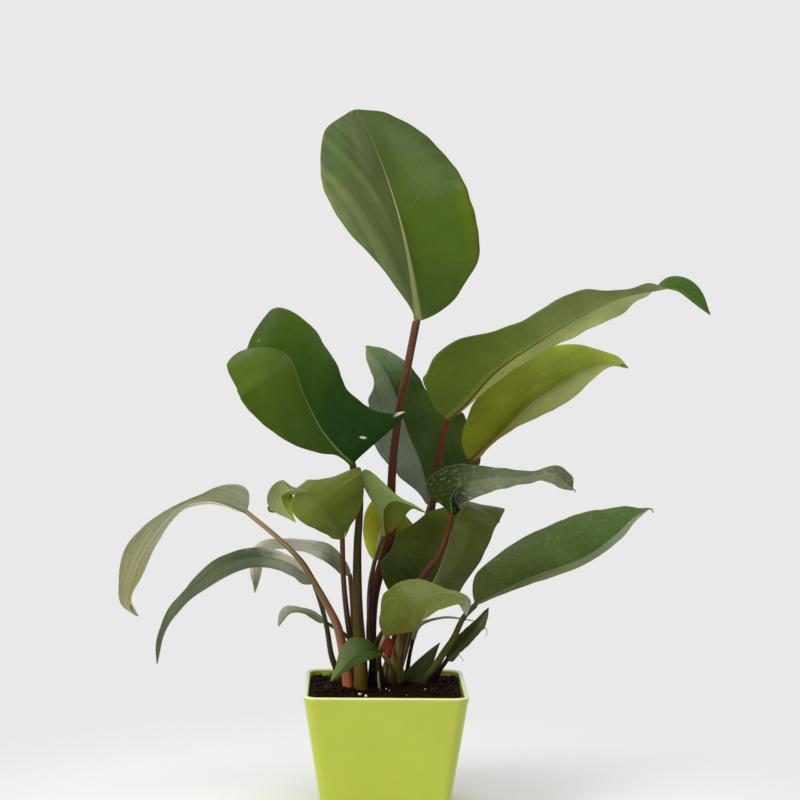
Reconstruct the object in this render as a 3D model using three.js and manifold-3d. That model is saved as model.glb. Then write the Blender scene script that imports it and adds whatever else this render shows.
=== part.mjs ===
// A Congo philodendron in a square planter, in millimetres, +Z up.
// The origin is the centre of the planter's foot. +X is the viewer's right and -Y faces the viewer.
//
// Every leaf is a blade and a petiole. A blade is a thin closed shell along a curved midrib, and a
// petiole is a tapered tube that stands in its own plain hole in the soil.

import * as THREE from 'three';
import Module from 'manifold-3d';

const wasm = await Module();
wasm.setup();

// Driving dimensions of the planter

const POT_WIDTH = 140;
const POT_HEIGHT = 110;
const FOOT_WIDTH = 106;
const POT_CORNER = 11;
const LIP_WIDTH = 4.2;
const POT_WALL = 3.4;
const POT_FLOOR = 5;
const FOOT_EDGE = 2;
const CORNER_STEPS = 5;
const LIP_STEPS = 4;

// Driving dimensions of the soil

const SOIL_LEVEL = POT_HEIGHT - 6;
const SOIL_RELIEF = 2.2;
const SOIL_RINGS = 8;
const SOIL_CORNER_STEPS = 4;
const SOIL_SIDE_STEPS = 5;
const GAP = 0.3;

// Driving dimensions that all leaves share

const BLADE_THICKNESS = 0.9;
const LARGE_BLADE_STEPS = 15;
const LARGE_SIDE_STATIONS = [0.36, 0.7, 1];
const BLADE_STEPS = 11;
const SIDE_STATIONS = [0.5, 1];
const END_CROWDING = 0.5;
const END_ROUNDING = 0.09;
const RIB_SHARE = 0.5;
const TIP_HALF_WIDTH = 0.5;
const PETIOLE_SIDES = 8;
const PETIOLE_STEPS = 9;
const ROOT_DEPTH = 16;
const ROOT_STEPS = 2;
const HOLE_CLEARANCE = 0.45;

// The finishes

const LIME_GLAZE = { color: 0xb4c832, roughness: 0.25 };
const POTTING_SOIL = { color: 0x2a1a12, roughness: 0.95 };
const RED_PETIOLE = { color: 0x6e2f22, roughness: 0.45 };
const OLIVE_PETIOLE = { color: 0x6d6434, roughness: 0.45 };
const TAN_PETIOLE = { color: 0x9a6a45, roughness: 0.45 };
const RED_SHEATH = { color: 0xa03328, roughness: 0.5 };
const GREEN_SHEATH = { color: 0x35592a, roughness: 0.5 };
const PALE_ROOT = { color: 0xc9c3ac, roughness: 0.7 };

// The leaves
//
// spine   points of the midrib, from the petiole to the tip
// face    which way the upper side looks, at even steps along the spine
// left    the half on the left of someone who looks along the spine with the upper side up
// right   the other half
//
// A half has its width and the angle in degrees that it is lifted off flat, each at even steps along
// the spine.
//
// steady  how far the sections keep to the line from base to tip instead of turning with the spine
// wave    height and number of the waves along the edges
// petiole points of the stalk above the soil
// radius  of the stalk at the soil and at the blade
// taper   1 for a stalk that narrows evenly, 2 for one that narrows mostly near the soil

const half = (widths, lift) => ({ widths, lift });

const LEAVES = {
  top: {
    spine: [[24, 0, 424], [18, -8, 468], [9, -8, 509], [-5, 4, 553], [-19, 18, 587], [-31, 30, 606]],
    face: [[0.4, -0.9, 0.1], [0.38, -0.92, 0], [0.38, -0.92, 0.2], [0.3, -0.8, 0.5]],
    left: half([4, 14, 25, 37.5, 38.5, 44.5, 53, 62, 71, 76, 77.5, 77, 75.5, 71.5, 66.5, 61, 55.5, 49, 41, 34,
      18], [55, 40, 25, 12, 5]),
    right: half([30, 35, 41.5, 49, 58, 62.5, 64, 64.5, 64.5, 63.5, 63.5, 63, 61.5, 58.5, 54, 50, 44.5, 38, 29.5,
      23, 12], [10, 15, 15, 10, 5]),
    wave: [1.2, 3], color: 0x46691f, large: true,
    petiole: [[-6, 34, 104], [-12, 36, 141], [-12, 34, 162], [-10, 30, 183], [-4, 24, 209], [5, 16, 242],
      [4, 12, 276], [5, 10, 303], [9, 6, 341], [16, 2, 381]],
    radius: [5, 3.4], stalk: RED_PETIOLE,
  },
  upper_left: {
    spine: [[-30, -22, 303], [-43, -30, 316], [-57, -36, 334], [-73, -38, 366], [-82, -32, 390],
      [-90, -24, 398], [-107, -8, 401], [-126, 14, 399]],
    face: [[-0.4, -0.85, 0], [-0.4, -0.85, 0.1], [-0.4, -0.8, 0.3], [-0.5, -0.5, 0.7]],
    left: half([2, 3, 4.5, 11.5, 17.5, 23.5, 29, 33.5, 38, 42.5, 46.5, 50.5, 53, 53.5, 52.5, 49.5, 44.5, 38.5,
      32.5, 29, 25], [20, 20, 20, 10]),
    right: half([14, 34, 59, 49.5, 48, 46.5, 44, 42.5, 44, 45.5, 44.5, 41, 37.5, 36.5, 35, 35, 35.5, 37, 39, 42,
      42], [0, 15, 20, 10]),
    steady: 0.6, wave: [1.2, 3], color: 0x3c5c24, large: true,
    petiole: [[-21, 4, 105], [-22, 6, 138], [-24, 6, 165], [-25, 4, 194], [-25, 2, 233], [-24, 0, 252],
      [-24, -6, 275]],
    radius: [6.5, 3], stalk: OLIVE_PETIOLE,
  },
  back: {
    spine: [[40, 50, 260], [30, 48, 297], [19, 48, 323], [4, 50, 366], [-8, 56, 386], [-19, 62, 400]],
    face: [[0.3, -0.95, 0.1], [0.3, -0.95, 0.1], [0.3, -0.85, 0.3]],
    left: half([8, 7, 10, 15.5, 21, 24, 27, 30, 32, 33, 33, 31.5, 29, 27, 25.5, 17, 12.5, 10.5, 9, 6.5,
      2], [0, 0, 0]),
    right: half([27, 34, 44, 53, 56, 56.5, 56, 55, 54, 51.5, 44, 37, 31, 28, 26.5, 24, 22, 18.5, 15, 10.5,
      5], [0, 5, 5]),
    wave: [2, 3], color: 0x4d7a55, large: true,
    petiole: [[0, 50, 107], [7, 54, 130], [15, 54, 166], [26, 52, 212]],
    radius: [4, 3], stalk: RED_PETIOLE,
  },
  upper_right: {
    spine: [[51, 16, 339], [65, 14, 351], [92, 8, 381], [128, 0, 407], [163, -6, 429], [198, -12, 446],
      [223, -16, 452], [247, -22, 454], [272, -34, 433]],
    face: [[-0.4, 0.75, 0.5], [-0.4, 0.8, 0.45], [-0.4, 0.85, 0.4], [-0.35, 0.88, 0.35], [-0.3, 0.9, 0.3],
      [-0.3, 0.9, 0.3], [-0.2, 0.5, 0.85], [0, -0.7, 0.7], [0.3, -0.8, 0.5]],
    left: half([5, 5.5, 6, 8, 10, 11, 12, 12.5, 13, 13.5, 14.5, 14, 15.5, 17, 19.5, 16, 11, 11, 10, 6,
      3], [0, 0, 0, 0, 0]),
    right: half([34, 50, 50, 53, 48.5, 37.5, 30, 26, 22.5, 22, 22, 22, 19.5, 10.5, 5, 6, 9, 10, 9, 6,
      3], [10, 20, 20, 10, 0]),
    wave: [1.5, 3], color: 0x6d8f4a, large: true,
    petiole: [[11, 46, 107], [17, 42, 132], [25, 36, 169], [33, 32, 214], [40, 28, 261], [44, 22, 297]],
    radius: [4, 3], stalk: RED_PETIOLE,
  },
  yellow: {
    spine: [[73, 34, 301], [95, 36, 322], [122, 38, 349], [150, 38, 369], [176, 34, 383], [196, 30, 388],
      [210, 26, 384]],
    face: [[0.1, -0.9, 0], [0.1, -0.9, 0.1], [0.1, -0.8, 0.4]],
    left: half([23, 25.5, 29, 34, 38, 39.5, 40, 40, 40, 39.5, 39, 38, 37, 34.5, 31, 26.5, 21, 14.5, 9, 6,
      3], [20, 20, 14]),
    right: half([5, 7, 5, 5, 6.5, 10, 13.5, 19, 24, 27, 30, 31, 32, 32, 31.5, 29, 25, 19, 13, 8,
      4], [60, 60, 50]),
    wave: [1, 2], color: 0x8a8d24, large: true,
    petiole: [[8, 57, 109], [17, 52, 130], [29, 46, 176], [48, 42, 226], [60, 38, 262]],
    radius: [4, 2.6], stalk: RED_PETIOLE,
  },
  mid_right: {
    spine: [[56, -10, 259], [55, -16, 274], [63, -24, 286], [88, -32, 292], [116, -38, 294], [141, -42, 297],
      [156, -46, 284]],
    face: [[-0.5, -0.7, 0.5], [-0.4, -0.6, 0.75], [0, -0.5, 0.85], [0, -0.4, 0.9]],
    left: half([8, 12, 33, 31, 27, 23.5, 20, 17.5, 15, 13, 11, 10, 9, 8, 7, 7, 9, 12.5, 10.5, 10,
      5], [0, 5, 10]),
    right: half([11, 12, 14, 18, 21, 22, 20.5, 17.5, 14, 11.5, 10, 9, 7.5, 7, 6.5, 6, 8, 9, 8.5, 7,
      3], [10, -10, -40, -20]),
    wave: [1, 2], color: 0x557a42,
    petiole: [[8, 30, 104], [13, 14, 140], [20, 0, 168], [31, -6, 203], [45, -9, 224], [52, -9, 243]],
    radius: [7.5, 2.6], stalk: RED_PETIOLE,
  },
  centre_dark: {
    spine: [[16, 10, 170], [30, 13, 182], [42, 14, 198], [53, 16, 226], [60, 18, 248], [67, 24, 260],
      [73, 34, 263], [84, 46, 261], [95, 56, 256]],
    face: [[0, -1, 0.1], [0, -1, 0.1], [0, -0.8, 0.4], [-0.1, 0, 1]],
    left: half([54, 49.5, 48.5, 48.5, 48.5, 48.5, 47.5, 46.5, 45.5, 43.5, 40.5, 33, 26, 16, 8, 5, 4, 3.5, 3, 2,
      1], [10, 10, 10, 0]),
    right: half([8, 9, 12, 19, 24, 24.5, 25, 27, 29.5, 31.5, 32.5, 34, 34.5, 34, 33.5, 33, 35, 32, 24, 21,
      14], [10, 10, 5, 0]),
    wave: [0.8, 2], color: 0x35592a, large: true,
    petiole: [[-12, 12, 103], [-9, 11, 138], [0, 9, 156]],
    radius: [3.6, 2.4], stalk: TAN_PETIOLE,
  },
  front_light: {
    spine: [[-1, -8, 152], [11, -22, 167], [26, -34, 184], [41, -44, 193], [55, -52, 196], [66, -56, 191],
      [67, -56, 178]],
    face: [[-0.3, -0.9, 0.3], [-0.2, -0.8, 0.5], [0, -0.6, 0.8], [0.5, -0.4, 0.3]],
    left: half([14, 17, 27, 28, 26, 21, 13, 6, 4, 5, 2], [10, 10, 10]),
    right: half([3, 4, 5, 8, 11, 14.5, 18, 20, 22, 25.5, 30, 34, 37, 37, 35, 30, 22, 15, 11, 8,
      4], [10, 10, 10]),
    wave: [0.8, 2], color: 0x7f9a48,
    petiole: [[-1, 10, 103], [-6, 0, 130], [-4, -6, 143]],
    radius: [3.4, 2.2], stalk: TAN_PETIOLE,
  },
  long_right: {
    spine: [[78, 8, 178], [99, 2, 190], [127, -8, 205], [170, -22, 224], [196, -30, 245], [209, -33, 259],
      [223, -36, 268]],
    face: [[-0.2, -0.9, 0.4], [-0.2, -0.9, 0.4], [-0.2, -0.9, 0.4]],
    left: half([20, 23, 25.5, 28, 30, 32, 33.5, 35, 36, 36.5, 37, 37.5, 37, 36.5, 34.5, 31.5, 27, 22, 14, 6,
      3], [15, 15, 10]),
    right: half([6, 7, 8, 11, 14, 16, 18, 19, 20, 19, 18, 17, 16, 15, 14.5, 14, 12.5, 10.5, 8, 5,
      2], [60, 55, 45]),
    wave: [0.8, 2], color: 0x46693c, large: true,
    petiole: [[33, 22, 104], [45, 20, 123], [52, 18, 135], [59, 16, 146], [68, 12, 166]],
    radius: [4, 2.4], stalk: OLIVE_PETIOLE,
  },
  low_right: {
    spine: [[55, 34, 125], [66, 30, 139], [78, 24, 155], [90, 16, 174]],
    face: [[-0.6, -0.7, 0.5], [-0.6, -0.7, 0.5]],
    left: half([2, 3, 4, 5, 5, 5, 5, 4, 3, 2, 1], [20, 20]),
    right: half([2, 6, 6.5, 8, 9, 9.5, 10.5, 11, 11.5, 12, 12, 12.5, 13, 14, 14, 14.5, 16, 14, 11, 8,
      3], [20, 20]),
    wave: [0.4, 2], color: 0x46693c,
    petiole: [[44, 38, 104], [48, 37, 114]],
    radius: [3, 2], stalk: OLIVE_PETIOLE,
  },
  drooping_pale: {
    spine: [[-121, -10, 260], [-136, -14, 267], [-151, -18, 271], [-170, -24, 268], [-192, -32, 248],
      [-207, -38, 226], [-216, -42, 203], [-219, -42, 187], [-211, -42, 174]],
    face: [[0, 0.75, 0.65], [0, 0.85, 0.5], [-0.4, 0.85, 0.35], [-0.5, 0.85, 0]],
    left: half([18, 21.5, 21.5, 17.5, 11, 5.5, 4, 4.5, 6.5, 9, 11, 13, 15, 16.5, 16.5, 15, 12.5, 10, 7.5, 4.5,
      3], [10, 10]),
    right: half([6, 6, 5.5, 7, 7.5, 8, 6.5, 4, 3.5, 4, 6, 8, 9.5, 11, 11, 10.5, 8, 5, 3.5, 2.5,
      2], [10, 20, 20, 10]),
    wave: [0.6, 2], color: 0x8f9c68,
    petiole: [[-32, 19, 105], [-39, 14, 146], [-43, 12, 160], [-53, 8, 180], [-63, 4, 198], [-73, 0, 215],
      [-93, -6, 236]],
    radius: [5.5, 2], stalk: TAN_PETIOLE,
  },
  drooping_dark: {
    spine: [[-63, 15, 196], [-83, 8, 212], [-107, -4, 220], [-134, -18, 216], [-155, -24, 203],
      [-175, -30, 183.5], [-190, -34, 160], [-195, -36, 132]],
    face: [[0, -0.5, 0.9], [-0.1, -0.5, 0.8], [-0.5, -0.6, 0.5], [-0.7, -0.6, 0.2]],
    left: half([13, 18, 21, 25, 27, 25, 22, 19, 17.5, 16.5, 16, 14.5, 12, 9, 6, 5, 4, 3.5, 3, 2.5,
      1.5], [10, 10]),
    right: half([5, 7, 9, 10, 11, 12, 12, 12, 12, 12, 11.5, 10.5, 8.5, 6.5, 6.5, 7, 6, 4.5, 4.5, 4,
      2], [10, 10]),
    wave: [0.6, 2], color: 0x5d7a52,
    petiole: [[-39, 35, 104], [-47, 31, 128], [-51, 27, 152], [-56, 22, 173]],
    radius: [3, 2], stalk: OLIVE_PETIOLE,
  },
  folded_grey: {
    spine: [[-31, 34, 199], [-42, 32, 211], [-55, 30, 220], [-68, 28, 224], [-84, 26, 226], [-101, 20, 226],
      [-110, 14, 222], [-112, 10, 211], [-112, 8, 200], [-114, 8, 187]],
    face: [[0, -0.4, 0.9], [0, -0.4, 0.9], [-0.5, -0.5, 0.6], [-0.8, -0.5, 0]],
    left: half([6, 11, 16, 17, 17, 18, 17, 12.5, 10, 9, 8, 8, 8, 8, 8, 8.5, 8.5, 8, 6, 4, 2], [10, 10]),
    right: half([6, 7, 8.5, 11, 12.5, 13, 12, 11, 10.5, 10, 9.5, 9, 9.5, 10, 9, 8, 8, 8.5, 8, 4.5,
      2], [10, 10]),
    wave: [0.5, 2], color: 0x7f8e7b,
    petiole: [[-27, 36, 104], [-28, 35, 140], [-29, 35, 170]],
    radius: [3, 2], stalk: TAN_PETIOLE,
  },
  low_left: {
    spine: [[-53, 44, 156], [-71, 46, 164], [-84, 44, 164], [-94, 38, 153]],
    face: [[0, -0.4, 0.9], [-0.6, -0.4, 0.6]],
    left: half([3, 5.5, 6, 6, 5.5, 5, 4.5, 3.5, 2.5, 2, 1.5, 1.5, 1.5, 1.5, 1.5, 1.5, 1.5, 1.5, 1, 1,
      1], [10, 10]),
    right: half([2, 3, 4, 4.5, 5, 5.5, 5.5, 5.5, 5.5, 5.5, 6, 7, 8.5, 10.5, 11, 10, 8.5, 7, 5, 4, 2], [10, 10]),
    wave: [0, 1], color: 0x5d7a52,
    petiole: [[-16, 38, 104], [-22, 40, 125], [-34, 42, 144]],
    radius: [2.4, 1.6], stalk: OLIVE_PETIOLE,
  },
  small_front: {
    spine: [[-2, -14, 137], [-15, -24, 142], [-28, -32, 138], [-38, -38, 128], [-47, -42, 119]],
    face: [[0, -0.7, 0.7], [0, -0.7, 0.7], [-0.4, -0.7, 0.4]],
    left: half([3, 4, 7, 10, 11, 10, 8, 6, 4, 3, 1], [10, 10]),
    right: half([3, 4, 9, 14, 17, 15, 12, 9, 6, 4, 2], [10, 10]),
    wave: [0.4, 2], color: 0x3d6b38,
    petiole: [[8, 12, 103], [6, 0, 122]],
    radius: [2.4, 1.8], stalk: OLIVE_PETIOLE,
  },
  mid_left: {
    spine: [[-38, -16, 237], [-46, -25, 253], [-57, -29, 267], [-65, -20, 278], [-79, -6, 279], [-91, 0, 273],
      [-88, 0, 262], [-79, -2, 250]],
    face: [[-0.1, -0.95, 0.2], [-0.1, -0.9, 0.4], [-0.2, 0, 1], [-0.5, 0.8, 0.2], [-0.2, 0.95, 0]],
    left: half([4, 8, 9.5, 12.5, 15, 17, 20.5, 24, 24, 20, 15, 11, 8, 7, 6.5, 7, 9.5, 9.5, 3.5, 2,
      2], [10, 10]),
    right: half([6, 8, 12, 22, 32, 39, 45, 48, 46, 21, 10, 7, 6.5, 7, 9, 11, 11, 9, 6, 3, 2], [10, 32, 32, 10]),
    wave: [0.8, 2], color: 0x637d30,
    petiole: [[-22, 23, 104], [-32, 19, 155], [-37, 0, 200]],
    radius: [3.4, 2.2], stalk: RED_PETIOLE,
  },
  centre_green: {
    spine: [[-2, 4, 237], [-3, -4, 253], [-2, -9, 264], [6, -11, 270], [19, -12, 267], [34, -12, 260]],
    face: [[0.3, -0.9, 0], [0.2, -0.95, 0.1], [0, -0.95, 0.15], [0.2, -0.6, 0.7]],
    left: half([0, 0, 3, 16, 34, 34, 11, 4, 3, 2, 1], [0, 0]),
    right: half([3, 6, 10, 15, 19, 20, 17, 9, 3, 2, 1], [10, 10]),
    steady: 0.9, wave: [0.4, 2], color: 0x5f7f2e,
    petiole: [[-10, 22, 104], [-13, 20, 160], [-12, 13, 200], [-8, 6, 222]],
    radius: [3.2, 2.2], stalk: TAN_PETIOLE,
  },
  lime: {
    spine: [[-10, 26, 213], [-9, 30, 227], [-5, 34, 244], [8, 36, 261]],
    face: [[0.1, -1, 0], [0.1, -0.9, 0.3]],
    left: half([3, 3.5, 5.5, 7, 8.5, 10, 11, 12, 13, 14, 14.5, 15.5, 16.5, 17.5, 18, 18.5, 18.5, 16.5, 12.5, 8,
      4], [14, 10]),
    right: half([5, 5, 6, 9, 12, 14.5, 17, 19, 21, 23, 24, 25.5, 26, 26, 26, 26.5, 27, 28, 28, 25,
      16], [14, 10]),
    wave: [0.8, 2], color: 0xa0a01c,
    petiole: [[-10, 48, 104], [-14, 44, 150], [-14, 34, 190]],
    radius: [2.6, 1.8], stalk: OLIVE_PETIOLE,
  },
  young_red: {
    spine: [[1, 6, 132], [1, 6, 143], [0, 4, 154]],
    face: [[0.2, -1, 0], [0.2, -1, 0.2]],
    left: half([3, 4, 5, 5, 5, 5, 5, 4, 3, 2, 1], [-20, -10]),
    right: half([3, 4, 5, 6, 6, 6, 5, 4, 3, 2, 1], [-20, -10]),
    wave: [0, 1], color: 0xa03328,
    petiole: [[0, 20, 104], [1, 14, 118]],
    radius: [2.4, 2], stalk: RED_SHEATH,
  },
  thin_back: {
    spine: [[25, 49, 140], [31, 47, 153], [51, 40, 161], [78, 32, 160]],
    face: [[-0.5, 0.3, 0.8], [0, 0.1, 1]],
    left: half([4, 5, 8, 10, 11, 11, 10, 9, 7, 4, 2], [6, 4]),
    right: half([4, 5, 8, 10, 11, 11, 10, 9, 7, 4, 2], [6, 4]),
    wave: [0.4, 2], color: 0x9fae8a,
    petiole: [[20, 54, 104], [22, 52, 124]],
    radius: [2.4, 1.6], stalk: OLIVE_PETIOLE,
  },
};

// Shoots without a blade. Their spine only gives the end and the way that it points.
const SHOOTS = {
  sheath_right: {
    spine: [[41, 36, 143], [43, 36, 149]],
    petiole: [[26, 38, 104], [29, 38, 116], [35, 37, 130]],
    radius: [9, 0.5], taper: 1, stalk: GREEN_SHEATH,
  },
  aerial_root: {
    spine: [[-10, 3, 127], [-9, 3, 131]],
    petiole: [[-9, 3, 104], [-11, 3, 115]],
    radius: [1.3, 0.8], stalk: PALE_ROOT,
  },
};

// Shared geometry

const vec = ([x, y, z]) => new THREE.Vector3(x, y, z);
const radians = THREE.MathUtils.degToRad;
const mix = THREE.MathUtils.lerp;

function smoothCurve(points) {
  return new THREE.CatmullRomCurve3(points.map(vec), false, 'centripetal');
}

// Interpolates evenly spaced directions, and returns a unit vector.
function directionAt(directions, along) {
  const place = along * (directions.length - 1);
  const index = Math.min(Math.floor(place), directions.length - 2);
  const blend = THREE.MathUtils.smoothstep(place - index, 0, 1);
  return vec(directions[index]).normalize().lerp(vec(directions[index + 1]).normalize(), blend).normalize();
}

// Turns the triangles over if they enclose a negative volume.
function facingOut(points, triangles) {
  let volume = 0;
  for (const [a, b, c] of triangles) {
    volume += points[a].dot(new THREE.Vector3().crossVectors(points[b], points[c]));
  }
  const indices = triangles.flatMap(([a, b, c]) => (volume > 0 ? [a, b, c] : [a, c, b]));
  const geometry = new THREE.BufferGeometry().setFromPoints(points);
  geometry.setIndex(indices);
  geometry.computeVertexNormals();
  return geometry;
}

// Joins equal closed loops one after another, and closes both ends with a fan.
function loft(loops) {
  const count = loops[0].length;
  const points = loops.flat();
  const triangles = [];
  for (let row = 0; row + 1 < loops.length; row += 1) {
    for (let i = 0; i < count; i += 1) {
      const next = (i + 1) % count;
      const [a, b] = [row * count + i, row * count + next];
      triangles.push([a, b, b + count], [a, b + count, a + count]);
    }
  }
  const closeEnd = (row, flip) => {
    const centre = new THREE.Vector3();
    loops[row].forEach((point) => centre.addScaledVector(point, 1 / count));
    const hub = points.push(centre) - 1;
    for (let i = 0; i < count; i += 1) {
      const [a, b] = [row * count + i, row * count + (i + 1) % count];
      triangles.push(flip ? [hub, b, a] : [hub, a, b]);
    }
  };
  closeEnd(0, true);
  closeEnd(loops.length - 1, false);
  return facingOut(points, triangles);
}

// Closes two equal grids into a thin shell. Both faces use the same diagonals.
function shell(upper, lower) {
  const rows = upper.length;
  const columns = upper[0].length;
  const points = [...upper.flat(), ...lower.flat()];
  const under = rows * columns;
  const at = (row, column) => row * columns + column;
  const triangles = [];
  for (let row = 0; row + 1 < rows; row += 1) {
    for (let column = 0; column + 1 < columns; column += 1) {
      const [a, b] = [at(row, column), at(row + 1, column)];
      const [c, d] = [at(row + 1, column + 1), at(row, column + 1)];
      triangles.push([a, b, c], [a, c, d]);
      triangles.push([a + under, c + under, b + under], [a + under, d + under, c + under]);
    }
  }
  const border = [];
  for (let column = 0; column + 1 < columns; column += 1) border.push(at(0, column));
  for (let row = 0; row + 1 < rows; row += 1) border.push(at(row, columns - 1));
  for (let column = columns - 1; column > 0; column -= 1) border.push(at(rows - 1, column));
  for (let row = rows - 1; row > 0; row -= 1) border.push(at(row, 0));
  border.forEach((a, i) => {
    const b = border[(i + 1) % border.length];
    triangles.push([a, b, b + under], [a, b + under, a + under]);
  });
  return facingOut(points, triangles);
}

function toSolid(geometry) {
  return new wasm.Manifold(new wasm.Mesh({
    numProp: 3,
    vertProperties: new Float32Array(geometry.attributes.position.array),
    triVerts: new Uint32Array(geometry.index.array),
  }));
}

function fromSolid(solid) {
  const mesh = solid.getMesh();
  const geometry = new THREE.BufferGeometry();
  geometry.setAttribute('position', new THREE.BufferAttribute(mesh.vertProperties, 3));
  geometry.setIndex(new THREE.BufferAttribute(mesh.triVerts, 1));
  geometry.computeVertexNormals();
  return geometry;
}

// The planter

// A square with rounded corners, as a level loop of points.
function roundedSquare(halfWidth, corner, z, cornerSteps, sideSteps = 1) {
  const loop = [];
  for (let quarter = 0; quarter < 4; quarter += 1) {
    const turn = new THREE.Matrix4().makeRotationZ(quarter * Math.PI / 2);
    const centre = halfWidth - corner;
    for (let i = 0; i <= cornerSteps; i += 1) {
      const angle = (i / cornerSteps) * Math.PI / 2;
      loop.push(new THREE.Vector3(centre + corner * Math.cos(angle), centre + corner * Math.sin(angle), z)
        .applyMatrix4(turn));
    }
    for (let i = 1; i < sideSteps; i += 1) {
      loop.push(new THREE.Vector3(mix(centre, -centre, i / sideSteps), halfWidth, z).applyMatrix4(turn));
    }
  }
  return loop;
}

// Half the outer width of the planter at a height.
function outerHalfWidth(z) {
  return mix(FOOT_WIDTH, POT_WIDTH, z / POT_HEIGHT) / 2;
}

function innerHalfWidth(z) {
  return outerHalfWidth(z) - POT_WALL;
}

function planterGeometry() {
  const ring = (halfWidth, z) => roundedSquare(halfWidth, POT_CORNER - (POT_WIDTH / 2 - halfWidth) * 0.2, z,
    CORNER_STEPS);
  const lip = LIP_WIDTH / 2;
  const loops = [
    ring(outerHalfWidth(0) - FOOT_EDGE, 0),
    ring(outerHalfWidth(FOOT_EDGE), FOOT_EDGE),
    ring(outerHalfWidth(POT_HEIGHT - 2 * lip), POT_HEIGHT - 2 * lip),
  ];
  for (let i = 0; i <= LIP_STEPS; i += 1) {
    const angle = (i / LIP_STEPS) * Math.PI;
    loops.push(ring(POT_WIDTH / 2 - lip + lip * Math.cos(angle), POT_HEIGHT - lip + lip * Math.sin(angle)));
  }
  loops.push(ring(innerHalfWidth(POT_HEIGHT - 3 * lip), POT_HEIGHT - 3 * lip));
  loops.push(ring(innerHalfWidth(POT_FLOOR + FOOT_EDGE), POT_FLOOR + FOOT_EDGE));
  loops.push(ring(innerHalfWidth(POT_FLOOR) - FOOT_EDGE, POT_FLOOR));
  return loft(loops);
}

// The soil

// Height of the crumbly surface: three crossing waves of different pitch.
function soilHeight(x, y) {
  const broad = Math.sin(x / 17 + 0.6) * Math.cos(y / 19 - 0.4);
  const middle = Math.sin(x / 7.3 + y / 9.1) * Math.cos(y / 6.1 - x / 11.7);
  const fine = Math.sin(x / 2.9 - 1.3) * Math.sin(y / 3.3 + 0.8);
  return SOIL_LEVEL + SOIL_RELIEF * (0.5 * broad + 0.35 * middle + 0.25 * fine);
}

function soilGeometry(holes) {
  const ring = (halfWidth, z) => roundedSquare(halfWidth, POT_CORNER * halfWidth / (POT_WIDTH / 2) * 0.7, z,
    SOIL_CORNER_STEPS, SOIL_SIDE_STEPS);
  const bottom = POT_FLOOR + GAP;
  const bevel = FOOT_EDGE + GAP;
  const edgeHalfWidth = innerHalfWidth(SOIL_LEVEL - 4) - 2 * GAP;
  const loops = [
    ring(innerHalfWidth(bottom) - bevel - GAP, bottom),
    ring(innerHalfWidth(bottom + bevel) - 2 * GAP, bottom + bevel),
  ];
  for (let i = SOIL_RINGS; i > 0; i -= 1) {
    const level = ring(edgeHalfWidth * i / SOIL_RINGS, 0);
    level.forEach((point) => point.setZ(soilHeight(point.x, point.y)));
    loops.push(level);
  }
  let solid = toSolid(loft(loops));
  holes.forEach((hole) => {
    solid = solid.subtract(toSolid(hole));
  });
  return fromSolid(solid);
}

// Petioles

// A round tube along points with a radius at each. Its last ring is square to the heading, if given.
function tube(points, radii, sides, heading = null) {
  const frames = points.map((point, i) => {
    const ahead = points[Math.min(i + 1, points.length - 1)];
    const behind = points[Math.max(i - 1, 0)];
    const last = heading && i === points.length - 1;
    const along = last ? heading : new THREE.Vector3().subVectors(ahead, behind).normalize();
    const across = new THREE.Vector3(0, 1, 0).cross(along).normalize();
    return { point, across, over: new THREE.Vector3().crossVectors(along, across) };
  });
  return loft(frames.map(({ point, across, over }, i) => Array.from({ length: sides }, (_, side) => {
    const angle = (side + 0.5) / sides * 2 * Math.PI;
    return point.clone()
      .addScaledVector(across, radii[i] * Math.cos(angle))
      .addScaledVector(over, radii[i] * Math.sin(angle));
  })));
}

// The way the midrib sets out from the petiole.
function headingOf(leaf) {
  return smoothCurve(leaf.spine).getTangentAt(0);
}

// Points down the middle of a petiole: first its root in the soil, then the stalk up to the blade.
function petioleLine(leaf) {
  const [x, y, z] = leaf.petiole[0];
  const root = [x, y, z - ROOT_DEPTH];
  const end = vec(leaf.spine[0]).addScaledVector(headingOf(leaf), -GAP);
  const curve = smoothCurve([root, ...leaf.petiole, end.toArray()]);
  const line = [];
  const buried = ROOT_DEPTH / curve.getLength();
  for (let i = 0; i < ROOT_STEPS; i += 1) line.push(curve.getPointAt(buried * i / ROOT_STEPS));
  for (let i = 0; i <= PETIOLE_STEPS; i += 1) {
    line.push(curve.getPointAt(mix(buried, 1, i / PETIOLE_STEPS)));
  }
  return line;
}

function petioleRadii(leaf, grow) {
  const [base, top] = leaf.radius;
  const radii = Array.from({ length: ROOT_STEPS }, () => base);
  for (let i = 0; i <= PETIOLE_STEPS; i += 1) {
    radii.push(mix(top, base, (1 - i / PETIOLE_STEPS) ** (leaf.taper ?? 2)));
  }
  return radii.map((radius) => radius + grow);
}

function petioleGeometry(leaf) {
  return tube(petioleLine(leaf), petioleRadii(leaf, 0), PETIOLE_SIDES, headingOf(leaf));
}

// The plain hole that the buried end of a petiole stands in.
function petioleHole(leaf) {
  const rings = ROOT_STEPS + 2;
  const line = petioleLine(leaf).slice(0, rings);
  line.unshift(line[0].clone().setZ(line[0].z - 2 * HOLE_CLEARANCE));
  const radii = petioleRadii(leaf, HOLE_CLEARANCE).slice(0, rings);
  radii.unshift(radii[0]);
  return tube(line, radii, PETIOLE_SIDES);
}

// Blades

// A smooth value between evenly spaced numbers.
function valueAt(values, along) {
  const place = along * (values.length - 1);
  const index = Math.min(Math.floor(place), values.length - 2);
  const share = place - index;
  const [before, first, second, after] = [-1, 0, 1, 2].map((step) => (
    values[THREE.MathUtils.clamp(index + step, 0, values.length - 1)]));
  return first + share * ((second - before) / 2 + share * (before - 2.5 * first + 2 * second - after / 2
    + share * (1.5 * (first - second) + (after - before) / 2)));
}

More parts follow.
